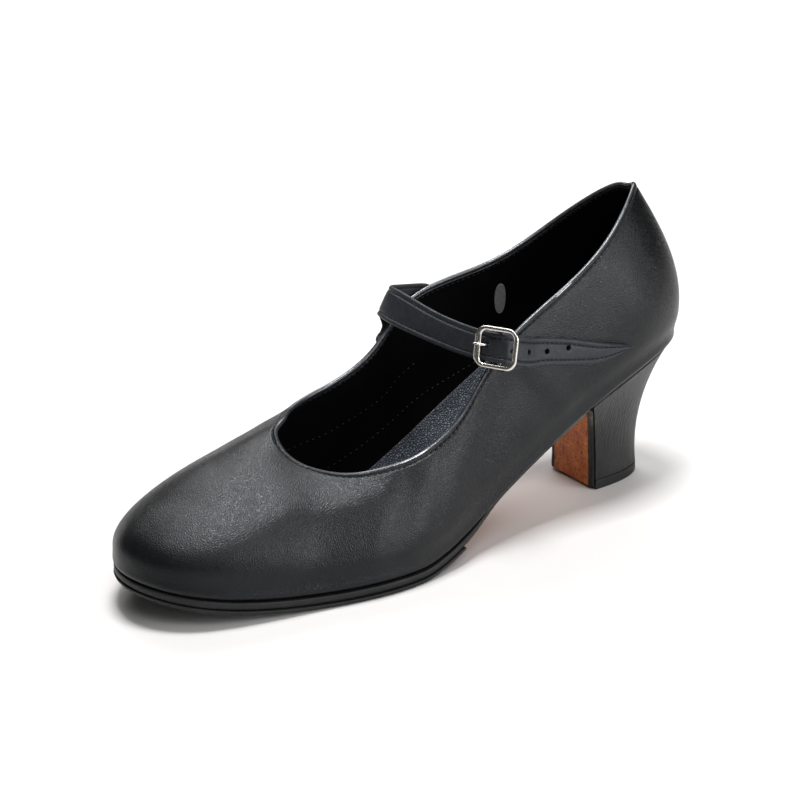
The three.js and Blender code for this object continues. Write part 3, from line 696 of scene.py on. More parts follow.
def away_from(points, line):
    """Distance of each point from a line of points."""
    nearest = np.full(points.shape[:-1], np.inf)
    for start, end in zip(line[:-1], line[1:]):
        a, b = at(*start), at(*end)
        run = b - a
        share = np.clip(((points - a) @ run) / (run @ run), 0, 1)
        nearest = np.minimum(nearest, np.linalg.norm(points - (a + share[..., None] * run), axis=-1))
    return nearest


def creased(points, normals):
    total = np.zeros(points.shape[:-1])
    for line, width, height in CREASES:
        total += height * bell(away_from(points, line), width)
    return points + normals * total[..., None]


STITCH_INSET = 2.4
RIM_RADIUS = 0.85


def collar_relief(d):
    """Height of the outer face at a distance below the collar: a soft bead and a stitched groove."""
    return 0.14 * bell(d - 1.2, 0.65) - 0.3 * bell(d - STITCH_INSET, 0.42)


def feather_relief(d):
    """Height of the outer face at a distance above the sole: it swells where it turns under."""
    return 0.42 * bell(d - 1.9, 1.6) - 0.35 * bell(d - 6.5, 3.2) - 0.4 * bell(d, 0.7)


def collar_reach(t):
    """Length of a column's last stretch for a full step of w."""
    return np.linalg.norm(upper(t, 1.0) - upper(t, 0.99), axis=-1) / 0.01


# Columns close to the back seam, and steps below the collar outside and inside, in mm.
SEAM_STEPS = np.array([0.012, 0.024, 0.036, 0.052, 0.075])
OUTER_STEPS = np.array([
    [5.4, 4.8, 4.3, 3.8, 3.4, 3.1, 2.85, 2.65, 2.5, 2.35, 2.2, 2.0, 1.75, 1.5, 1.25, RIM_RADIUS]
])
INNER_STEPS = np.array([[RIM_RADIUS, 1.2, 1.5, 1.7, 1.9, 2.1, 2.35, 2.6, 2.9, 3.3, 3.8, 4.5, 5.5]])


def make_upper():
    """The wall as columns that run up the outer face, over the rolled rim and down the inner face."""
    t = [[0.0], SEAM_STEPS, np.linspace(0.1, COLUMNS - 0.1, 430), COLUMNS - SEAM_STEPS[::-1]]
    t = np.concatenate(t)[:, None]
    reach = collar_reach(t)
    low = np.concatenate([np.linspace(0, 0.06, 8), np.linspace(0.075, 1, 56)[:-1]])[None]
    w = np.concatenate([low * (1 - 5.8 / reach), 1 - OUTER_STEPS / reach], 1)
    d = (1 - w) * reach
    normals = upper_normal(t, w)
    foot = w * np.linalg.norm(upper(t, 0.01) - upper(t, 0.0), axis=-1) / 0.01
    seam = 0.22 * bell(np.minimum(t, COLUMNS - t), 0.02) * (d > 1)
    relief = collar_relief(d) + feather_relief(foot) - seam
    outer = creased(upper(t, w), normals) + normals * relief[..., None]
    at_rim = 1 - RIM_RADIUS / reach
    n = upper_normal(t, at_rim)
    up = unit(upper(t, 1.0) - upper(t, 0.98))
    angle = np.linspace(0, math.pi, 13)[None, 1:-1, None]
    rim = upper(t, at_rim) - n * RIM_RADIUS + RIM_RADIUS * (n * np.cos(angle) + up * np.sin(angle))
    inner_w = np.concatenate([1 - INNER_STEPS / reach, np.linspace(1, 0, 34)[None] * (1 - 6.5 / reach)], 1)
    inner_d = (1 - inner_w) * reach
    depth = 2 * RIM_RADIUS + (WALL - 2 * RIM_RADIUS) * np.clip((inner_d - 1.6) / 6, 0, 1)
    depth += 0.32 * bell(inner_d - 1.95, 0.28)
    inner = upper(t, inner_w) - upper_normal(t, inner_w) * depth[..., None]
    grid = np.concatenate([outer, rim, inner], 1)
    faces, gap = grid_faces(grid.shape[0], grid.shape[1], True, True)
    rim_start, inner_start = outer.shape[1], outer.shape[1] + rim.shape[1]
    kinds = np.where((gap >= inner_start + 4) & (gap < grid.shape[1] - 1), 1, 0)
    kinds[(gap >= rim_start - 1) & (gap < inner_start + 1)] = 2
    obj = make_object("upper_leather", grid.reshape(-1, 3), faces, [black, lining_finish, rim_highlit_black], kinds)
    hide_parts("upper")


make_upper()


def collar_line(inset, depth):
    """A line round the collar, below its edge and under its outer face."""
    t = np.linspace(0, COLUMNS, 900)
    w = 1 - inset / collar_reach(t)
    normals = upper_normal(t, w)
    return upper(t, w) - normals * depth, normals


outer_line = collar_line(STITCH_INSET, 0.2)
inner_points, inner_normals = collar_line(STITCH_INSET + 0.5, WALL - 0.12)
stitch = stitches(
    "collar_stitches", [outer_line, (inner_points, -inner_normals)], 2.3, 1.75, 0.24, 0.05, thread_finish
)

# Two rows of stitches on the inner side's lining: f, and height above the seat.
LINING_SEAMS = [
    [(97, 36.7), (106, 36.4), (112, 33.8), (123, 32.3), (133, 30.5), (147, 27.5), (158, 25.0)],
    [(62, 15.5), (73, 17.6), (90, 21.7), (104, 22.6), (120, 19.5), (130, 17.1), (140, 14.5)],
]


def wall_line(side, f, above, depth):
    """A line on the inside of the wall, with the directions into the shoe."""
    t, w = locate(side, f, seat(f) + above)
    normals = upper_normal(t, w)
    return upper(t, w) - normals * depth, -normals


seams = []
for seam_row in LINING_SEAMS:
    seam_curve = smooth_curve(seam_row, 120)
    seams.append(wall_line(INNER_SIDE, seam_curve[:, 0], seam_curve[:, 1], WALL - 0.05))
lining_thread = stitches("lining_stitches", seams, 2.6, 1.2, 0.22, 0.0, thread_pale)

# ---- soles ----


def waist_share(f):
    x = np.clip((f - WAIST_FRONT + WAIST_FADE) / WAIST_FADE, 0, 1)
    return 1 - x * x * (3 - 2 * x)


def sole_thickness(f):
    return OUTSOLE_THICKNESS + (WAIST_THICKNESS - OUTSOLE_THICKNESS) * waist_share(f)


def sole_margin(f):
    return SOLE_EDGE - (SOLE_EDGE + WAIST_TUCK) * waist_share(f)


def outline(margin):
    """The feather line moved out by a margin: its inner and outer sides as functions of f."""
    t = np.linspace(0, COLUMNS, 6001)[:-1]
    points = feather(t)
    points = points + outward(t) * np.broadcast_to(margin(-points[:, 1]), len(t))[:, None]
    f, s = -points[:, 1], points[:, 0]
    tip, back = int(f.argmax()), int(f.argmin())
    f, s = np.roll(f, -back), np.roll(s, -back)
    tip = (tip - back) % len(f)
    outer = (np.maximum.accumulate(f[: tip + 1]), s[: tip + 1])
    inner = (np.maximum.accumulate(f[tip:][::-1]), s[tip:][::-1])

    def sides(where):
        return np.interp(where, *inner), np.interp(where, *outer)

    return sides, f[0], f[tip]


def side_normals(f, s, sign):
    """Outward directions in plan along a side, in X, Y."""
    df, ds = np.gradient(f), np.gradient(s)
    n = unit(np.stack([sign * df, sign * ds], -1))
    return np.concatenate([n, np.zeros((len(f), 1))], 1)


EDGE_PROFILE = np.array([
    [-1.3, 0.5], [-0.6, 0.5], [-0.25, 0.47], [-0.06, 0.38], [0.0, 0.2], [0.02, 0.0],
    [0.0, -0.2], [-0.06, -0.36], [-0.25, -0.46], [-0.6, -0.5], [-1.5, -0.5],
])
ACROSS = 12


def layer_object(name, inner, outer, inner_n, outer_n, up, thickness, tuck, materials, close_back):
    """A sole layer from stations: points of its two sides on its middle, outward directions, up."""
    across = np.linspace(0, 1, ACROSS + 2)[None, 1:-1, None]

    def side(points, normals):
        d, h = EDGE_PROFILE[:, 0], EDGE_PROFILE[:, 1]
        d = d[None] - (0.5 - h)[None] * tuck
        return (
            points[:, None]
            + normals[:, None] * d[..., None]
            + up[:, None] * (h[None] * thickness[:, None])[..., None]
        )

    out_side, in_side = side(outer, outer_n), side(inner, inner_n)
    top = in_side[:, :1] + (out_side[:, :1] - in_side[:, :1]) * across
    bottom = out_side[:, -1:] + (in_side[:, -1:] - out_side[:, -1:]) * across
    rings = np.concatenate([top, out_side, bottom, in_side[:, ::-1]], 1)
    n, size = rings.shape[:2]
    faces, gap = grid_faces(n, size, False, True)
    edge_count = len(EDGE_PROFILE)
    bottom_start = ACROSS + edge_count - 2
    bottom_end = bottom_start + ACROSS + 2
    kinds = np.where((gap >= bottom_start) & (gap <= bottom_end), 1, 0).tolist()
    faces = faces.tolist()
    if close_back:
        faces.append(list(range(size)))
        kinds.append(0)
    width = np.linalg.norm(out_side[:, -1:] - in_side[:, -1:], axis=-1)
    share = np.linspace(0, 1, ACROSS + 2)[None, 1:-1]
    edge = np.zeros((n, size))
    edge[:, ACROSS + edge_count : 2 * ACROSS + edge_count] = np.minimum(share, 1 - share) * width
    attributes = {"edge": edge.ravel(), "height": rings[..., 2].ravel()}
    return make_object(name, rings.reshape(-1, 3), faces, materials, kinds, attributes)


def flat_layer(name, margin, back, top, thickness, tuck, materials):
    """A sole layer that follows the foot, whole or from f = back to the toe."""
    count = 150
    sides, low, high = outline(margin)
    x = np.linspace(0, 1, count)
    if back is None:
        f = low + (high - low) * (1 - np.cos(math.pi * x)) / 2
    else:
        f = back + (high - back) * np.sin(math.pi / 2 * x)
    s_in, s_out = sides(f)
    middle = top(f) - thickness / 2
    up = np.tile([0, 0, 1.0], (count, 1))
    sides = [at(f, s_in, middle), at(f, s_out, middle)]
    sides += [side_normals(f, s_in, -1), side_normals(f, s_out, 1)]
    thick = np.full(count, thickness)
    return layer_object(name, *sides, up, thick, tuck, materials, back is not None)


insole = flat_layer(
    "insole_sock", lambda f: -WALL - FIT_GAP, None, lambda f: seat(f) + INSOLE_THICKNESS,
    INSOLE_THICKNESS, 0.0, [sock_finish, lining_finish],
)
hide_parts("insole")


# How far the sock turns up the inner side's wall: f, and height above the seat.
ARCH_ROWS = np.array([
    [22, 3.2], [32, 6.0], [45, 10.5], [58, 13.4], [73, 14.2], [84, 14.3], [94, 14.0],
    [103, 13.0], [113, 11.1], [121, 8.7], [127, 7.3], [134, 5.6], [142, 4.2], [152, 3.2],
])


def make_sock_arch():
    curve = smooth_curve(ARCH_ROWS, 150)
    f, above = curve[:, 0], curve[:, 1]
    half, reach = 0.6, 13.0
    top = on_upper(INNER_SIDE, f, seat(f) + above, -(WALL + 0.15 + half))
    corner = on_upper(INNER_SIDE, f, seat(f) + 2.0, -(WALL + 0.6 + half))
    corner[:, 2] = seat(f) + INSOLE_THICKNESS + 0.1 + half
    floor = corner + at(0, reach, 0)
    floor[:, 2] = seat(f) + INSOLE_THICKNESS - 0.3
    u = np.linspace(0, 1, STRAP_COLUMNS)[None, :, None]
    rows = (1 - u) ** 2 * top[:, None] + 2 * u * (1 - u) * corner[:, None] + u**2 * floor[:, None]
    obj = sheet_object("sock_arch_pad", rows, 2 * half, 0.0, 0.6, [sock_finish, sock_finish])


PATCH_SIDE = 17.15
PATCH_F, PATCH_ABOVE = 57.0, 34.5
PATCH_HALF_WIDTH, PATCH_HALF_HEIGHT = 2.6, 6.4


def make_patch():
    """A plain oval patch on the inner side's lining."""
    y = np.sin(np.linspace(-1, 1, 44) * math.pi / 2 * 0.985)[:, None]
    f = PATCH_F + PATCH_HALF_WIDTH * np.sqrt(1 - y**2) ** 0.8 * (1 - 2 * SHARES)
    z = seat(PATCH_F) + PATCH_ABOVE + PATCH_HALF_HEIGHT * y
    rows = on_upper(PATCH_SIDE, f, z, -(WALL + 0.22))
    obj = sheet_object("lining_patch", rows, 0.3, 0.0, 0.15, [patch_finish, patch_finish])


def sole_top(f):
    return seat(f) - FIT_GAP


def sole_bottom(f):
    return sole_top(f) - sole_thickness(f)


half_sole = flat_layer(
    "half_sole_rubber_layer", sole_margin, HALF_SOLE_BACK, lambda f: sole_bottom(f) - FIT_GAP,
    HALF_SOLE_THICKNESS, SOLE_BEVEL, [sole_black, sole_black],
)
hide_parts("half_sole")

# ---- heel ----

heel_sides = outline(lambda f: -HEEL_INSET)[0]
heel_inner, heel_outer = (float(v) for v in heel_sides(HEEL_TOP_LENGTH))
HEEL_FOOT_FRONT = HEEL_FOOT_BACK + HEEL_FOOT_LENGTH
HEEL_FOOT_SQUARENESS = 2.5
HEEL_CURVE = 2.4
HEEL_SWELL = 0.28
HEEL_BASE = LIFT_HEIGHT + LIFT_GAP
HEEL_FOOT_INNER = -HEEL_FOOT_WIDTH / 2 - HEEL_FOOT_ASIDE
HEEL_FOOT_OUTER = HEEL_FOOT_WIDTH / 2 - HEEL_FOOT_ASIDE
# The heel's top edge is rounded from this share of its height up, and drawn in by so many mm.
TOP_ROUND_FROM = 0.965
TOP_ROUND = 2.6
ARC_STEPS = 180
FRONT_STEPS = 40


def heel_share(v):
    v = np.maximum(v, 0)
    return v**HEEL_CURVE - HEEL_SWELL * v * (1 - v) ** 3


def evenly(line, count):
    run = run_of(line)
    return pick(line, run, np.linspace(0, run[-1], count + 1))


def closed_front(arc):
    share = np.linspace(0, 1, FRONT_STEPS + 1)[1:-1, None]
    return np.concatenate([arc, arc[-1:] + (arc[:1] - arc[-1:]) * share])


def heel_foot(inset):
    power = 2 / HEEL_FOOT_SQUARENESS
    angle = np.linspace(-math.pi / 2, math.pi / 2, 241)
    side = np.sign(np.sin(angle)) * np.abs(np.sin(angle)) ** power
    depth = np.maximum(0, np.cos(angle)) ** power
    line = at(
        HEEL_FOOT_FRONT - inset - (HEEL_FOOT_LENGTH - 2 * inset) * depth,
        (HEEL_FOOT_WIDTH / 2 - inset) * side - HEEL_FOOT_ASIDE,
        0.0,
    )
    return closed_front(evenly(line, ARC_STEPS))


def heel_top():
    t = np.linspace(-COLUMNS / 2, COLUMNS / 2, 4001)
    points = feather(t) - outward(t) * HEEL_INSET
    points = points[-points[:, 1] < HEEL_TOP_LENGTH]
    points[:, 2] = 0
    line = np.concatenate([
        at(HEEL_TOP_LENGTH, [heel_inner], 0.0), points, at(HEEL_TOP_LENGTH, [heel_outer], 0.0),
    ])
    ring = closed_front(evenly(line, ARC_STEPS))
    ring[:, 2] = seat(-ring[:, 1]) - FIT_GAP
    return ring


def make_heel():
    foot, top = heel_foot(0.0), heel_top()
    middle = top.mean(0)
    rings, columns = [], run_of(top)
    levels = np.concatenate([np.linspace(0, TOP_ROUND_FROM, 90), [0.968, 0.971, 0.979, 0.986, 0.993, 1.0]])
    for v in levels:
        ring = foot + (top - foot) * heel_share(v)
        ring[:, 2] = HEEL_BASE + (top[:, 2] - HEEL_BASE) * v
        rounding = max(0.0, (v - TOP_ROUND_FROM) / (1 - TOP_ROUND_FROM)) ** 1.3 * TOP_ROUND
        foot_round = max(0.0, 1 - v / 0.008) * 0.3
        ring[:, :2] -= unit(ring[:, :2] - middle[None, :2]) * (rounding + foot_round)
        rings.append(ring)
    verts, faces = capped(np.array(rings))
    attributes = {"around": np.concatenate([np.tile(columns, len(levels)), [0, 0]]), "height": verts[:, 2]}
    obj = make_object("heel_cover", verts, faces, [heel_black], attributes=attributes, sharp=50)
    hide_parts("heel")
    lift = [(LIFT_BEVEL, 0.0), (0.25, 0.12), (0.08, 0.35), (0.0, LIFT_BEVEL + 0.2)]
    lift += [(0.0, z) for z in np.linspace(1.0, 3.8, 12)]
    lift += [(0.1, LIFT_HEIGHT - 0.08), (0.3, LIFT_HEIGHT)]
    rings = []
    for inset, z in lift:
        ring = heel_foot(inset)
        ring[:, 2] = z
        rings.append(ring)
    verts, faces = capped(np.array(rings))
    obj = make_object("heel_lift", verts, faces, [lift_black], sharp=50)
    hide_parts("top_lift")


make_heel()


def make_outsole():
    """The long sole: flat stations, then round a fold and down the heel's front."""
    fold_start = HEEL_TOP_LENGTH + 5.5
    flap_top = 0.9
    sides, _, high = outline(sole_margin)
    top_z = float(seat(HEEL_TOP_LENGTH)) - FIT_GAP

    def middle(f):
        return np.stack([f, (sole_top(f) + sole_bottom(f)) / 2], -1)

    def on_heel(v):
        f = HEEL_FOOT_FRONT + (HEEL_TOP_LENGTH - HEEL_FOOT_FRONT) * heel_share(v)
        return np.stack([f, HEEL_BASE + (top_z - HEEL_BASE) * v], -1)

    def heel_front(v):
        run = unit(on_heel(v + 0.01) - on_heel(v))
        off = FIT_GAP + FLAP_THICKNESS / 2
        return on_heel(v) + np.stack([run[..., 1], -run[..., 0]], -1) * off

    def flap_sides(v):
        share = heel_share(v)
        low = HEEL_FOOT_INNER + (heel_inner - HEEL_FOOT_INNER) * share + FLAP_MARGIN
        top = HEEL_FOOT_OUTER + (heel_outer - HEEL_FOOT_OUTER) * share - FLAP_MARGIN
        return low, top

    f = fold_start + (high - fold_start) * np.sin(math.pi / 2 * np.linspace(0, 1, 170)[1:])[::-1]
    s_in, s_out = sides(f)
    slope = sole_top(f + 0.5) - sole_top(f - 0.5)
    flat = middle(f)
    flat_thickness = sole_thickness(f) / np.sqrt(1 + slope**2)
    start = middle(np.array(fold_start))
    tangent = middle(np.array(fold_start + 1.0)) - start
    start_thickness = WAIST_THICKNESS * tangent[0] / np.linalg.norm(tangent)
    corner = middle(np.array(HEEL_TOP_LENGTH)) + [FIT_GAP + FLAP_THICKNESS / 2, 0]
    end = heel_front(np.array(flap_top))
    u = np.linspace(0, 1, 29)[:-1, None]
    fold = (1 - u) ** 2 * start + 2 * u * (1 - u) * corner + u**2 * end
    start_in, start_out = sides(fold_start)
    end_in, end_out = flap_sides(flap_top)
    u = u[:, 0]
    fold_in, fold_out = start_in + (end_in - start_in) * u, start_out + (end_out - start_out) * u
    fold_thickness = start_thickness + (FLAP_THICKNESS - start_thickness) * u
    flap_foot = (FLAP_FLOOR_GAP - HEEL_BASE) / (top_z - HEEL_BASE)
    v = np.linspace(flap_top, flap_foot, 60)
    held = np.maximum(v, 0)
    flap = heel_front(held)
    flap[:, 1] += (top_z - HEEL_BASE) * np.minimum(v, 0)
    flap_in, flap_out = flap_sides(held)
    path = np.concatenate([flat, fold, flap])
    low = np.concatenate([s_in, fold_in, flap_in])
    top = np.concatenate([s_out, fold_out, flap_out])
    thickness = np.concatenate([flat_thickness, fold_thickness, np.full(len(v), FLAP_THICKNESS)])
    run = unit(np.gradient(path, axis=0))
    up = at(run[:, 1], 0.0, -run[:, 0])
    bent = len(path) - len(f)
    blend = np.clip((f - fold_start) / 30, 0, 1)[:, None]

    def normals(s, sign):
        flat_part = side_normals(f[::-1], s[::-1], sign)[::-1]
        flat_part = unit(flat_part * blend + at(0, sign, 0) * (1 - blend))
        return np.concatenate([flat_part, np.tile(at(0, sign, 0), (bent, 1))])

    stations = [at(path[:, 0], low, path[:, 1]), at(path[:, 0], top, path[:, 1])]
    stations += [normals(s_in, -1), normals(s_out, 1), up, thickness]
    stations = [values[::-1] for values in stations]
    obj = layer_object("outsole_leather", *stations, SOLE_BEVEL, [edge_black, tan], True)
    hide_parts("outsole")


make_outsole()

# ---- strap ----

# Rows across the strap, in the shares that the CAD source explains.
BASE_ROWS = [
    [0.3479, 0.9664, 0.4542, 0.8789, 0.4],
    [0.3567, 1.0548, 0.4625, 0.9685, 0.4],
    [0.365, 1.1311, 0.4692, 1.0399, 0.5],
]
FREE_ROWS = [
    [0.4, -0.775, 1.2458, 0.4558, -0.749, 1.0857],
    [0.4296, -0.785, 1.323, 0.4542, -0.825, 1.1566],
    [0.4367, -0.583, 1.3466, 0.4637, -0.614, 1.1912],
    [0.4317, -0.25, 1.3031, 0.46, -0.26, 1.1694],
    [0.4212, 0.025, 1.241, 0.4479, 0.025, 1.1169],
    [0.4133, 0.285, 1.2096, 0.4367, 0.301, 1.0762],
    [0.4092, 0.52, 1.2063, 0.4275, 0.55, 1.0558],
    [0.3992, 0.754, 1.194, 0.4092, 0.79, 1.0155],
    [0.3829, 0.813, 1.1435, 0.3946, 0.848, 0.9674],
    [0.3642, 0.795, 1.0663, 0.3738, 0.836, 0.886],
]
TAIL_ROWS = [
    [0.3342, 0.9312, 0.3408, 0.7483, 1.5],
    [0.3033, 0.8291, 0.3092, 0.6554, 0.9],
    [0.2721, 0.7251, 0.2771, 0.5511, 0.5],
    [0.2408, 0.6142, 0.2442, 0.451, 0.4],
    [0.2092, 0.5042, 0.2117, 0.3648, 0.4],
    [0.1783, 0.4025, 0.1792, 0.3225, 0.4],
    [0.1475, 0.3081, 0.1467, 0.2901, 0.4],
]
TAB_ROWS = [
    [0.3646, 1.0043, 0.3917, 0.8647, 0.35],
    [0.3479, 0.9553, 0.3625, 0.7996, 0.35],
    [0.3354, 0.9081, 0.3438, 0.7606, 0.35],
]
STRAP_COLUMNS = 5
HALF = STRAP_THICKNESS / 2
SHARES = np.linspace(0, 1, STRAP_COLUMNS)


def seated_row(side, row, off):
    rear_f, rear_z, front_f, front_z, lift = row
    low, high = height_of(rear_f, rear_z), height_of(front_f, front_z)
    along = (rear_f + (front_f - rear_f) * SHARES) * LAST_LENGTH
    return on_upper(side, along, low + (high - low) * SHARES, lift + off)


def free_row(row):
    rear = at(row[0] * LAST_LENGTH, row[1] * HALF_BALL, height_of(row[0], row[2]))
    front = at(row[3] * LAST_LENGTH, row[4] * HALF_BALL, height_of(row[3], row[5]))
    return rear + (front - rear) * SHARES[:, None]


strap_spline = spline(
    [seated_row(INNER_SIDE, row, HALF) for row in BASE_ROWS]
    + [free_row(row) for row in FREE_ROWS]
    + [seated_row(OUTER_SIDE, row, HALF) for row in TAIL_ROWS],
    False,
)
STRAP_END = len(BASE_ROWS) + len(FREE_ROWS) + len(TAIL_ROWS) - 1.0
BUCKLE_AT = len(BASE_ROWS) + 7.0


def strap_rows(u):
    return strap_spline(u).reshape(*np.shape(u), STRAP_COLUMNS, 3)


def across_weights(c):
    """Weights of the five columns of a row at shares c across it."""
    c = np.asarray(c, float)
    weights = np.ones(c.shape + (STRAP_COLUMNS,))
    for k in range(STRAP_COLUMNS):
        for m in range(STRAP_COLUMNS):
            if m != k:
                weights[..., k] *= (c - SHARES[m]) / (SHARES[k] - SHARES[m])
    return weights


def sheet_points(rows, c):
    """Points at shares c across each row, with outward normals."""

    def weighed(where, values):
        return np.einsum("nmk,nkx->nmx", across_weights(where), values)

    step = 0.02
    across = weighed(c - step, rows) - weighed(c + step, rows)
    return weighed(c, rows), unit(np.cross(weighed(c, np.gradient(rows, axis=0)), across))


def strap_frame(u):
    step = 0.05
    row, after, before = strap_rows(np.array([u, u + step, u - step]))
    along = unit(after[2] - before[2])
    out = unit(np.cross(along, row[0] - row[-1]))
    return row[2], along, np.cross(out, along), out


def strap_at(distance):
    """Where along the strap a distance from the buckle's middle lies."""
    step = 0.01 * np.sign(distance)
    u, run = BUCKLE_AT, 0.0
    while run < abs(distance):
        run += np.linalg.norm(strap_rows(u + step)[2] - strap_rows(u)[2])
        u += step
    return u


# Steps from a sheet's edge in mm, its stitched line, and the half width that they need.
EDGE_STEPS = np.array([
    0.0, 0.04, 0.12, 0.25, 0.42, 0.62, 0.85, 1.1, 1.35, 1.55,
    1.7, 1.85, 2.0, 2.15, 2.3, 2.45, 2.65, 2.95, 3.4, 4.0,
])
SEAM_INSET = 2.0
EDGE_NEED = 4.4
SEAM_HALF_WIDTH = 0.4
# How far a sheet swells between its seams, and the dent that a punched hole leaves round it.
PUFF = 0.09
DENT_DEPTH = 0.24
DENT_HALF_WIDTH = 1.75


def widths_of(rows):
    """The width of each row, and the share of the edge steps that fits in it."""
    width = np.linalg.norm(np.diff(rows, axis=1), axis=2).sum(1)
    return width, np.minimum(1, width / 2 / EDGE_NEED)


def edge_height(e, half, radius):
    return half * (0.3 + 0.7 * np.sqrt(np.clip(1 - (1 - np.minimum(e, radius) / radius) ** 2, 0, 1)))


def sheet_object(name, rows, thickness, groove, radius, materials, dents=()):
    """A sheet from rows of points across it, with rounded edges and a stitched groove near each."""
    width, fit = (values[:, None] for values in widths_of(rows))
    edge = EDGE_STEPS[None] * fit
    middle = np.linspace(0, 1, 11)[None, 1:-1]
    span = width - 2 * edge[:, -1:]
    d = np.concatenate([edge, edge[:, -1:] + span * middle, (width - edge)[:, ::-1]], 1)
    e = np.minimum(d, width - d)
    here, out = sheet_points(rows, d / width)
    height = edge_height(e, thickness / 2, radius * fit)
    seam = groove * bell(e / fit - SEAM_INSET, SEAM_HALF_WIDTH)
    puff = PUFF * np.sin(np.clip((e / fit - 2.2) / 3.2, 0, 1) * math.pi / 2) * (thickness > 1)
    top = here + out * (height - seam + puff)[..., None]
    for place, direction in dents:
        away = top - place
        away = np.linalg.norm(away - (away @ direction)[..., None] * direction, axis=-1)
        top = top - out * (DENT_DEPTH * bell(away, DENT_HALF_WIDTH))[..., None]
    bottom = here - out * (height - 0.3 * seam)[..., None]
    rings = np.concatenate([top, bottom[:, ::-1]], 1)
    n, size = rings.shape[:2]
    faces, gap = grid_faces(n, size, False, True)
    kinds = np.where((gap >= top.shape[1]) & (gap < size - 1), 1, 0).tolist()
    faces = faces.tolist() + [list(range(size)), [(n - 1) * size + k for k in range(size)]]
    return make_object(name, rings.reshape(-1, 3), faces, materials, kinds + [0, 0], sharp=50)


def cut(obj, cutter_verts, cutter_faces, meets_itself=False):
    """Takes a closed shape out of an object's mesh, whose own faces may cross where it folds."""
    mesh = new_mesh("cutter", cutter_verts, cutter_faces)
    face_out(mesh)
    cutter = linked("cutter", mesh)
    modifier = obj.modifiers.new("cut", "BOOLEAN")
    modifier.operation = "DIFFERENCE"
    modifier.solver = "EXACT"
    modifier.use_self = meets_itself
    modifier.object = cutter
    graph = bpy.context.evaluated_depsgraph_get()
    whole, obj_cut = obj.data, bpy.data.meshes.new_from_object(obj.evaluated_get(graph))
    obj.modifiers.remove(modifier)
    obj.data = obj_cut
    bpy.data.objects.remove(cutter)
    for old in (whole, mesh):
        bpy.data.meshes.remove(old)
    obj_cut.set_sharp_from_angle(angle=math.radians(50))


def cylinders(places, radius, reach):
    angle = full_turn(28)[:, None]
    parts = []
    for place, along, across, out in places:
        ring = radius * (np.cos(angle) * along + np.sin(angle) * across)
        parts.append(capped(np.array([place + ring - out * reach, place + ring + out * reach])))
    return joined(parts)


def hole_frames():
    found = []
    for k, drift in enumerate(HOLE_DRIFTS):
        place, along, across, out = strap_frame(strap_at(PRONG_HOLE + k * HOLE_PITCH))
        found.append((place + across * drift, along, across, out))
    return found


holes = hole_frames()


def make_strap():
    rows = strap_rows(np.linspace(0, STRAP_END, 420))
    dents = [(place, out) for place, _, _, out in holes]
    finish = [strap_black, strap_lining]
    obj = sheet_object("strap_leather_band", rows, STRAP_THICKNESS, 0.38, 0.9, finish, dents)
    cut(obj, *cylinders(holes, HOLE_RADIUS, 3 * STRAP_THICKNESS))
    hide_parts("strap")
    width, fit = widths_of(rows)
    inset = SEAM_INSET * fit / width
    lines = []
    for c in (inset, 1 - inset):
        here, out = sheet_points(rows, c[:, None])
        lines.append(((here + out * (HALF - 0.32))[6:-8, 0], out[6:-8, 0]))
    thread = stitches("strap_stitches", lines, 2.1, 1.6, 0.22, 0.02, thread_finish)


make_strap()
make_sock_arch()
make_patch()

# ---- buckle ----

buckle_place, buckle_along, buckle_across, buckle_out = strap_frame(BUCKLE_AT)
BUCKLE_AXES = np.array([buckle_along, buckle_across, buckle_out])


def placed(local):
    """Points of the flat buckle, x towards the tail and z outwards, on the strap."""
    return buckle_place + np.asarray(local, float) @ BUCKLE_AXES


def strap_height(x):
    return ((strap_rows(strap_at(x)) - buckle_place) @ buckle_out).max()


FRAME_HALF = FRAME_LENGTH / 2
frame_bottom = max(strap_height(share * FRAME_HALF) for share in (-1.15, -1, -0.85, 0.85, 1, 1.15))
frame_bottom += HALF + FIT_GAP
frame_middle = frame_bottom + FRAME_BAR_HEIGHT / 2
bar_z = -HALF - 2 * TAB_GAP - TAB_THICKNESS - CENTRE_BAR_RADIUS


def make_frame():
    x, y, r = FRAME_HALF, FRAME_WIDTH / 2, FRAME_CORNER
    path = []
    for cx, cy, turn in ((x - r, y - r, 0), (r - x, y - r, 1), (r - x, r - y, 2), (x - r, r - y, 3)):
        angle = (turn + np.linspace(0, 1, 17)) * math.pi / 2
        path += [(cx + r * math.cos(a), cy + r * math.sin(a), a) for a in angle]
    path = np.array(path)
    rest = np.maximum(0, -np.cos(path[:, 2])) ** 2
    width = (FRAME_BAR_WIDTH + (REST_BAR_WIDTH - FRAME_BAR_WIDTH) * rest) / 2
    angle, power = full_turn(24), 2 / 2.5
    side = np.sign(np.cos(angle)) * np.abs(np.cos(angle)) ** power
    height = np.sign(np.sin(angle)) * np.abs(np.sin(angle)) ** power * FRAME_BAR_HEIGHT / 2
    ahead = np.stack([np.cos(path[:, 2]), np.sin(path[:, 2])], -1)
    flat = path[:, None, :2] + (width[:, None] * side[None])[..., None] * ahead[:, None]
    rings = np.concatenate([flat, np.broadcast_to(frame_middle + height, flat.shape[:2])[..., None]], -1)
    bend = 1.0
    turn = np.linspace(0, math.pi / 2, 9)
    left = [(0, -y, frame_middle - 0.2), (0, -y, bar_z + bend + 0.4)]
    left += [(0, -y + bend * (1 - math.cos(a)), bar_z + bend * (1 - math.sin(a))) for a in turn]
    right = [(0, -py, pz) for _, py, pz in reversed(left)]
    bar = tube(left + right, CENTRE_BAR_RADIUS * 0.98, 18, False, flat=(1, 0, 0))
    verts, faces = joined([closed_tube(rings), capped(bar)])
    obj = make_object("buckle_ring", placed(verts), faces, [metal], sharp=60)
    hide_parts("buckle_frame")


make_frame()


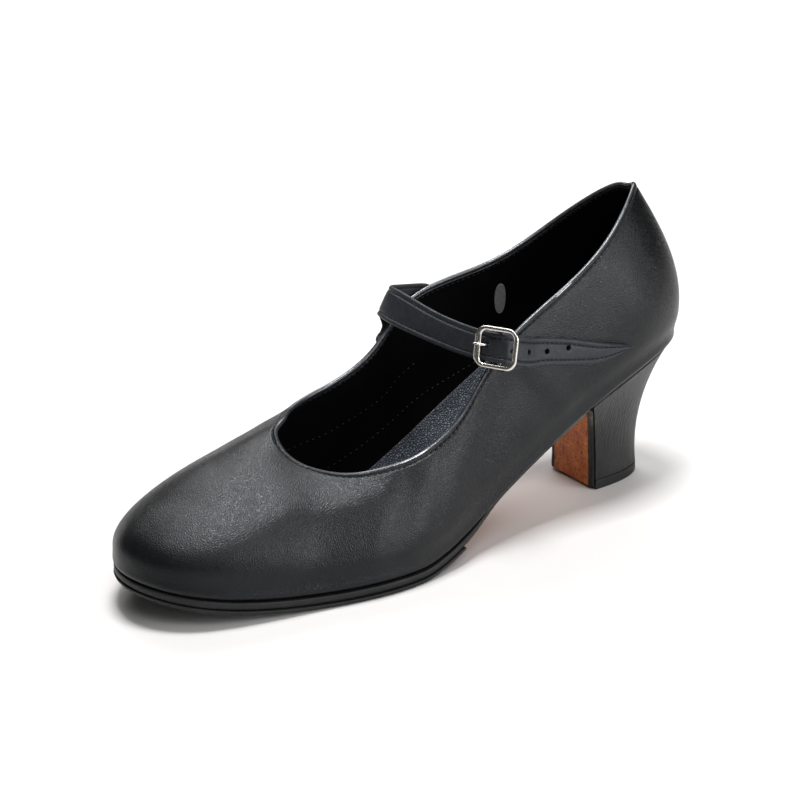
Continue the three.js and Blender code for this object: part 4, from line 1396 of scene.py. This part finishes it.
def make_prong():
    gap = 0.15
    ring_radius = CENTRE_BAR_RADIUS + gap + WIRE_RADIUS
    top = frame_bottom + FRAME_BAR_HEIGHT + gap + WIRE_RADIUS
    tip = -FRAME_HALF - REST_BAR_WIDTH / 2 - gap
    under = (PRONG_HOLE - ring_radius) / 2
    bend = 1.1
    drift = HOLE_DRIFTS[0]
    route = np.array([
        [-ring_radius, 0, bar_z],
        [under, drift / 2, bar_z + gap],
        [PRONG_HOLE + gap, drift, -HALF - bend],
        [PRONG_HOLE, drift, 0],
        [PRONG_HOLE - bend / 2, drift, top - bend],
        [PRONG_HOLE - 2 * bend, drift, top],
        [tip, drift, top],
    ])
    fine = smooth_curve(route, 70)
    radii = np.full(len(fine), WIRE_RADIUS)
    radii[-4:] = WIRE_RADIUS * np.array([0.97, 0.88, 0.7, 0.4])
    wire = tube(fine, radii, 16, False, flat=(0, 1, 0))
    angle = full_turn(48)
    ring = np.stack([ring_radius * np.cos(angle), 0 * angle, bar_z + ring_radius * np.sin(angle)], -1)
    loop = tube(ring, WIRE_RADIUS, 14, True, flat=(0, 1, 0))
    verts, faces = joined([capped(wire), closed_tube(loop)])
    obj = make_object("buckle_wire_prong", placed(verts), faces, [metal], sharp=60)
    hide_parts("buckle_prong")


make_prong()


def make_tab():
    radius = CENTRE_BAR_RADIUS + TAB_GAP + TAB_THICKNESS / 2
    turn = np.linspace(0.4, 1.6, 10)[:, None] * math.pi
    y = TAB_WIDTH / 2 - TAB_WIDTH * SHARES
    curl = np.broadcast_arrays(radius * np.cos(turn), y, bar_z + radius * np.sin(turn))
    seats = [seated_row(OUTER_SIDE, row, TAB_THICKNESS / 2) for row in TAB_ROWS]
    rows = np.array([*placed(np.stack(curl, -1)), *seats])
    u = np.linspace(0, len(rows) - 1, 120)
    low = np.minimum(np.floor(u).astype(int), len(rows) - 2)
    share = (u - low)[:, None, None]
    fine = rows[low] * (1 - share) + rows[low + 1] * share
    for _ in range(6):
        fine[1:-1] = (fine[:-2] + 2 * fine[1:-1] + fine[2:]) / 4
    finish = [strap_black, strap_lining]
    obj = sheet_object("buckle_tab_leather", fine, TAB_THICKNESS, 0.12, 0.35, finish)
    reach = radius + TAB_THICKNESS
    corners = [
        (x, y, bar_z + z)
        for x in (-2 * reach - 1, 1)
        for y in (-SLOT_WIDTH / 2, SLOT_WIDTH / 2)
        for z in (-reach - 0.5, reach + 0.5)
    ]
    box_faces = [(0, 1, 3, 2), (4, 6, 7, 5), (0, 4, 5, 1), (2, 3, 7, 6), (0, 2, 6, 4), (1, 5, 7, 3)]
    cut(obj, placed(corners), box_faces, meets_itself=True)
    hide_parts("buckle_tab")
    seated, inset = fine[-36:], 0.14
    here, out = sheet_points(seated, np.tile(np.linspace(inset, 1 - inset, 20), (len(seated), 1)))
    here = here + out * (TAB_THICKNESS / 2 - 0.05)
    lines = [(here[:-3, k], out[:-3, k]) for k in (0, -1)] + [(here[-4], out[-4])]
    thread = stitches("buckle_tab_stitches", lines, 1.5, 1.1, 0.17, 0.02, thread_finish)


make_tab()

# ---- floor, lights and camera ----


def make_floor():
    size, steps = 6.0, 24
    x = np.linspace(-size, size, steps)
    mesh = bpy.data.meshes.new("floor")
    faces = grid_faces(steps, steps, False, False)[0].tolist()
    mesh.from_pydata([(a, b, 0.0) for a in x for b in x], [], faces)
    shade = Shader("floor_paper", 0.2)
    tone = shade.noise(30)
    color = shade.mix(tone, (0.59, 0.582, 0.576), (0.61, 0.602, 0.596))
    normal = shade.bump(shade.noise(500, 2), 0.05, 0.0003)
    mesh.materials.append(shade.finish(color, shade.rough(tone, 0.85, 0.95), normal))
    floor = linked("floor", mesh)


make_floor()

world = bpy.data.worlds.new("studio")
world.use_nodes = True
sky = world.node_tree.nodes["Background"].inputs
sky["Color"].default_value = (1.0, 0.995, 0.985, 1)
sky["Strength"].default_value = 0.06
bpy.context.scene.world = world

LAMP_TARGET = Vector((0, 0, 0.06))

# Soft lamps round the shoe: azimuth and elevation in degrees, distance, width, radiance.
LAMPS = [
    (0, 90, 1.4, 0.42, 43.0),
    (265, 42, 1.4, 0.6, 3.6),
    (117, 17, 1.4, 0.8, 7.5),
    (70, 48, 1.4, 0.6, 3.6),
    (130, 62, 1.4, 0.5, 3.0),
]
BACKDROP_LAMP = (238, 42, 1.65, 1.1, 4.6)


def direction(azimuth, elevation):
    """The unit direction away from the shoe at angles in degrees: azimuth 0 is in front of the toe."""
    turn, tilt = math.radians(azimuth), math.radians(elevation)
    return np.array([math.sin(turn) * math.cos(tilt), -math.cos(turn) * math.cos(tilt), math.sin(tilt)])


def softbox(azimuth, elevation, distance, width, radiance, aim=None):
    """A square lamp that faces the shoe or lies along aim."""
    away = Vector(direction(azimuth, elevation))
    name = f"softbox_{azimuth}_{elevation}"
    lamp = bpy.data.lights.new(name, "AREA")
    lamp.shape = "SQUARE"
    lamp.size = width
    lamp.energy = radiance * math.pi * width**2
    obj = linked(name, lamp)
    obj.location = LAMP_TARGET + away * distance
    obj.rotation_euler = (aim or -away).to_track_quat("-Z", "Y").to_euler()


for lamp_row in LAMPS:
    softbox(*lamp_row)
softbox(*BACKDROP_LAMP, aim=Vector((0, 0, -1)))

# Angles in degrees, lengths in mm; the focus is the focal length in pixels over the distance.
CAMERA_AZIMUTH = 57.735729
CAMERA_ELEVATION = 22.03633482
CAMERA_ROLL = -2.25927962
CAMERA_DISTANCE = 914.46
CAMERA_FOCUS = 2.65933581
CAMERA_TARGET = at(121.344, 0.0, 55.0985)
IMAGE_WIDTH = 800

camera = bpy.data.cameras.new("camera")
camera.sensor_width = 36.0
camera.sensor_fit = "HORIZONTAL"
camera.lens = CAMERA_FOCUS * CAMERA_DISTANCE * camera.sensor_width / IMAGE_WIDTH
camera.clip_start, camera.clip_end = 0.05, 30.0
turn, roll = math.radians(CAMERA_AZIMUTH), math.radians(CAMERA_ROLL)
back = direction(CAMERA_AZIMUTH, CAMERA_ELEVATION)
right = np.array([math.cos(turn), math.sin(turn), 0])
up = np.cross(back, right)
rolled = right * math.cos(roll) + up * math.sin(roll)
upright = -right * math.sin(roll) + up * math.cos(roll)
place = (CAMERA_TARGET + SHIFT + back * CAMERA_DISTANCE) / 1000
camera_object = linked("camera", camera)
camera_object.matrix_world = Matrix([*np.array([rolled, upright, back, place]).T.tolist(), [0, 0, 0, 1]])
bpy.context.scene.camera = camera_object
bpy.context.scene.view_settings.view_transform = "Standard"
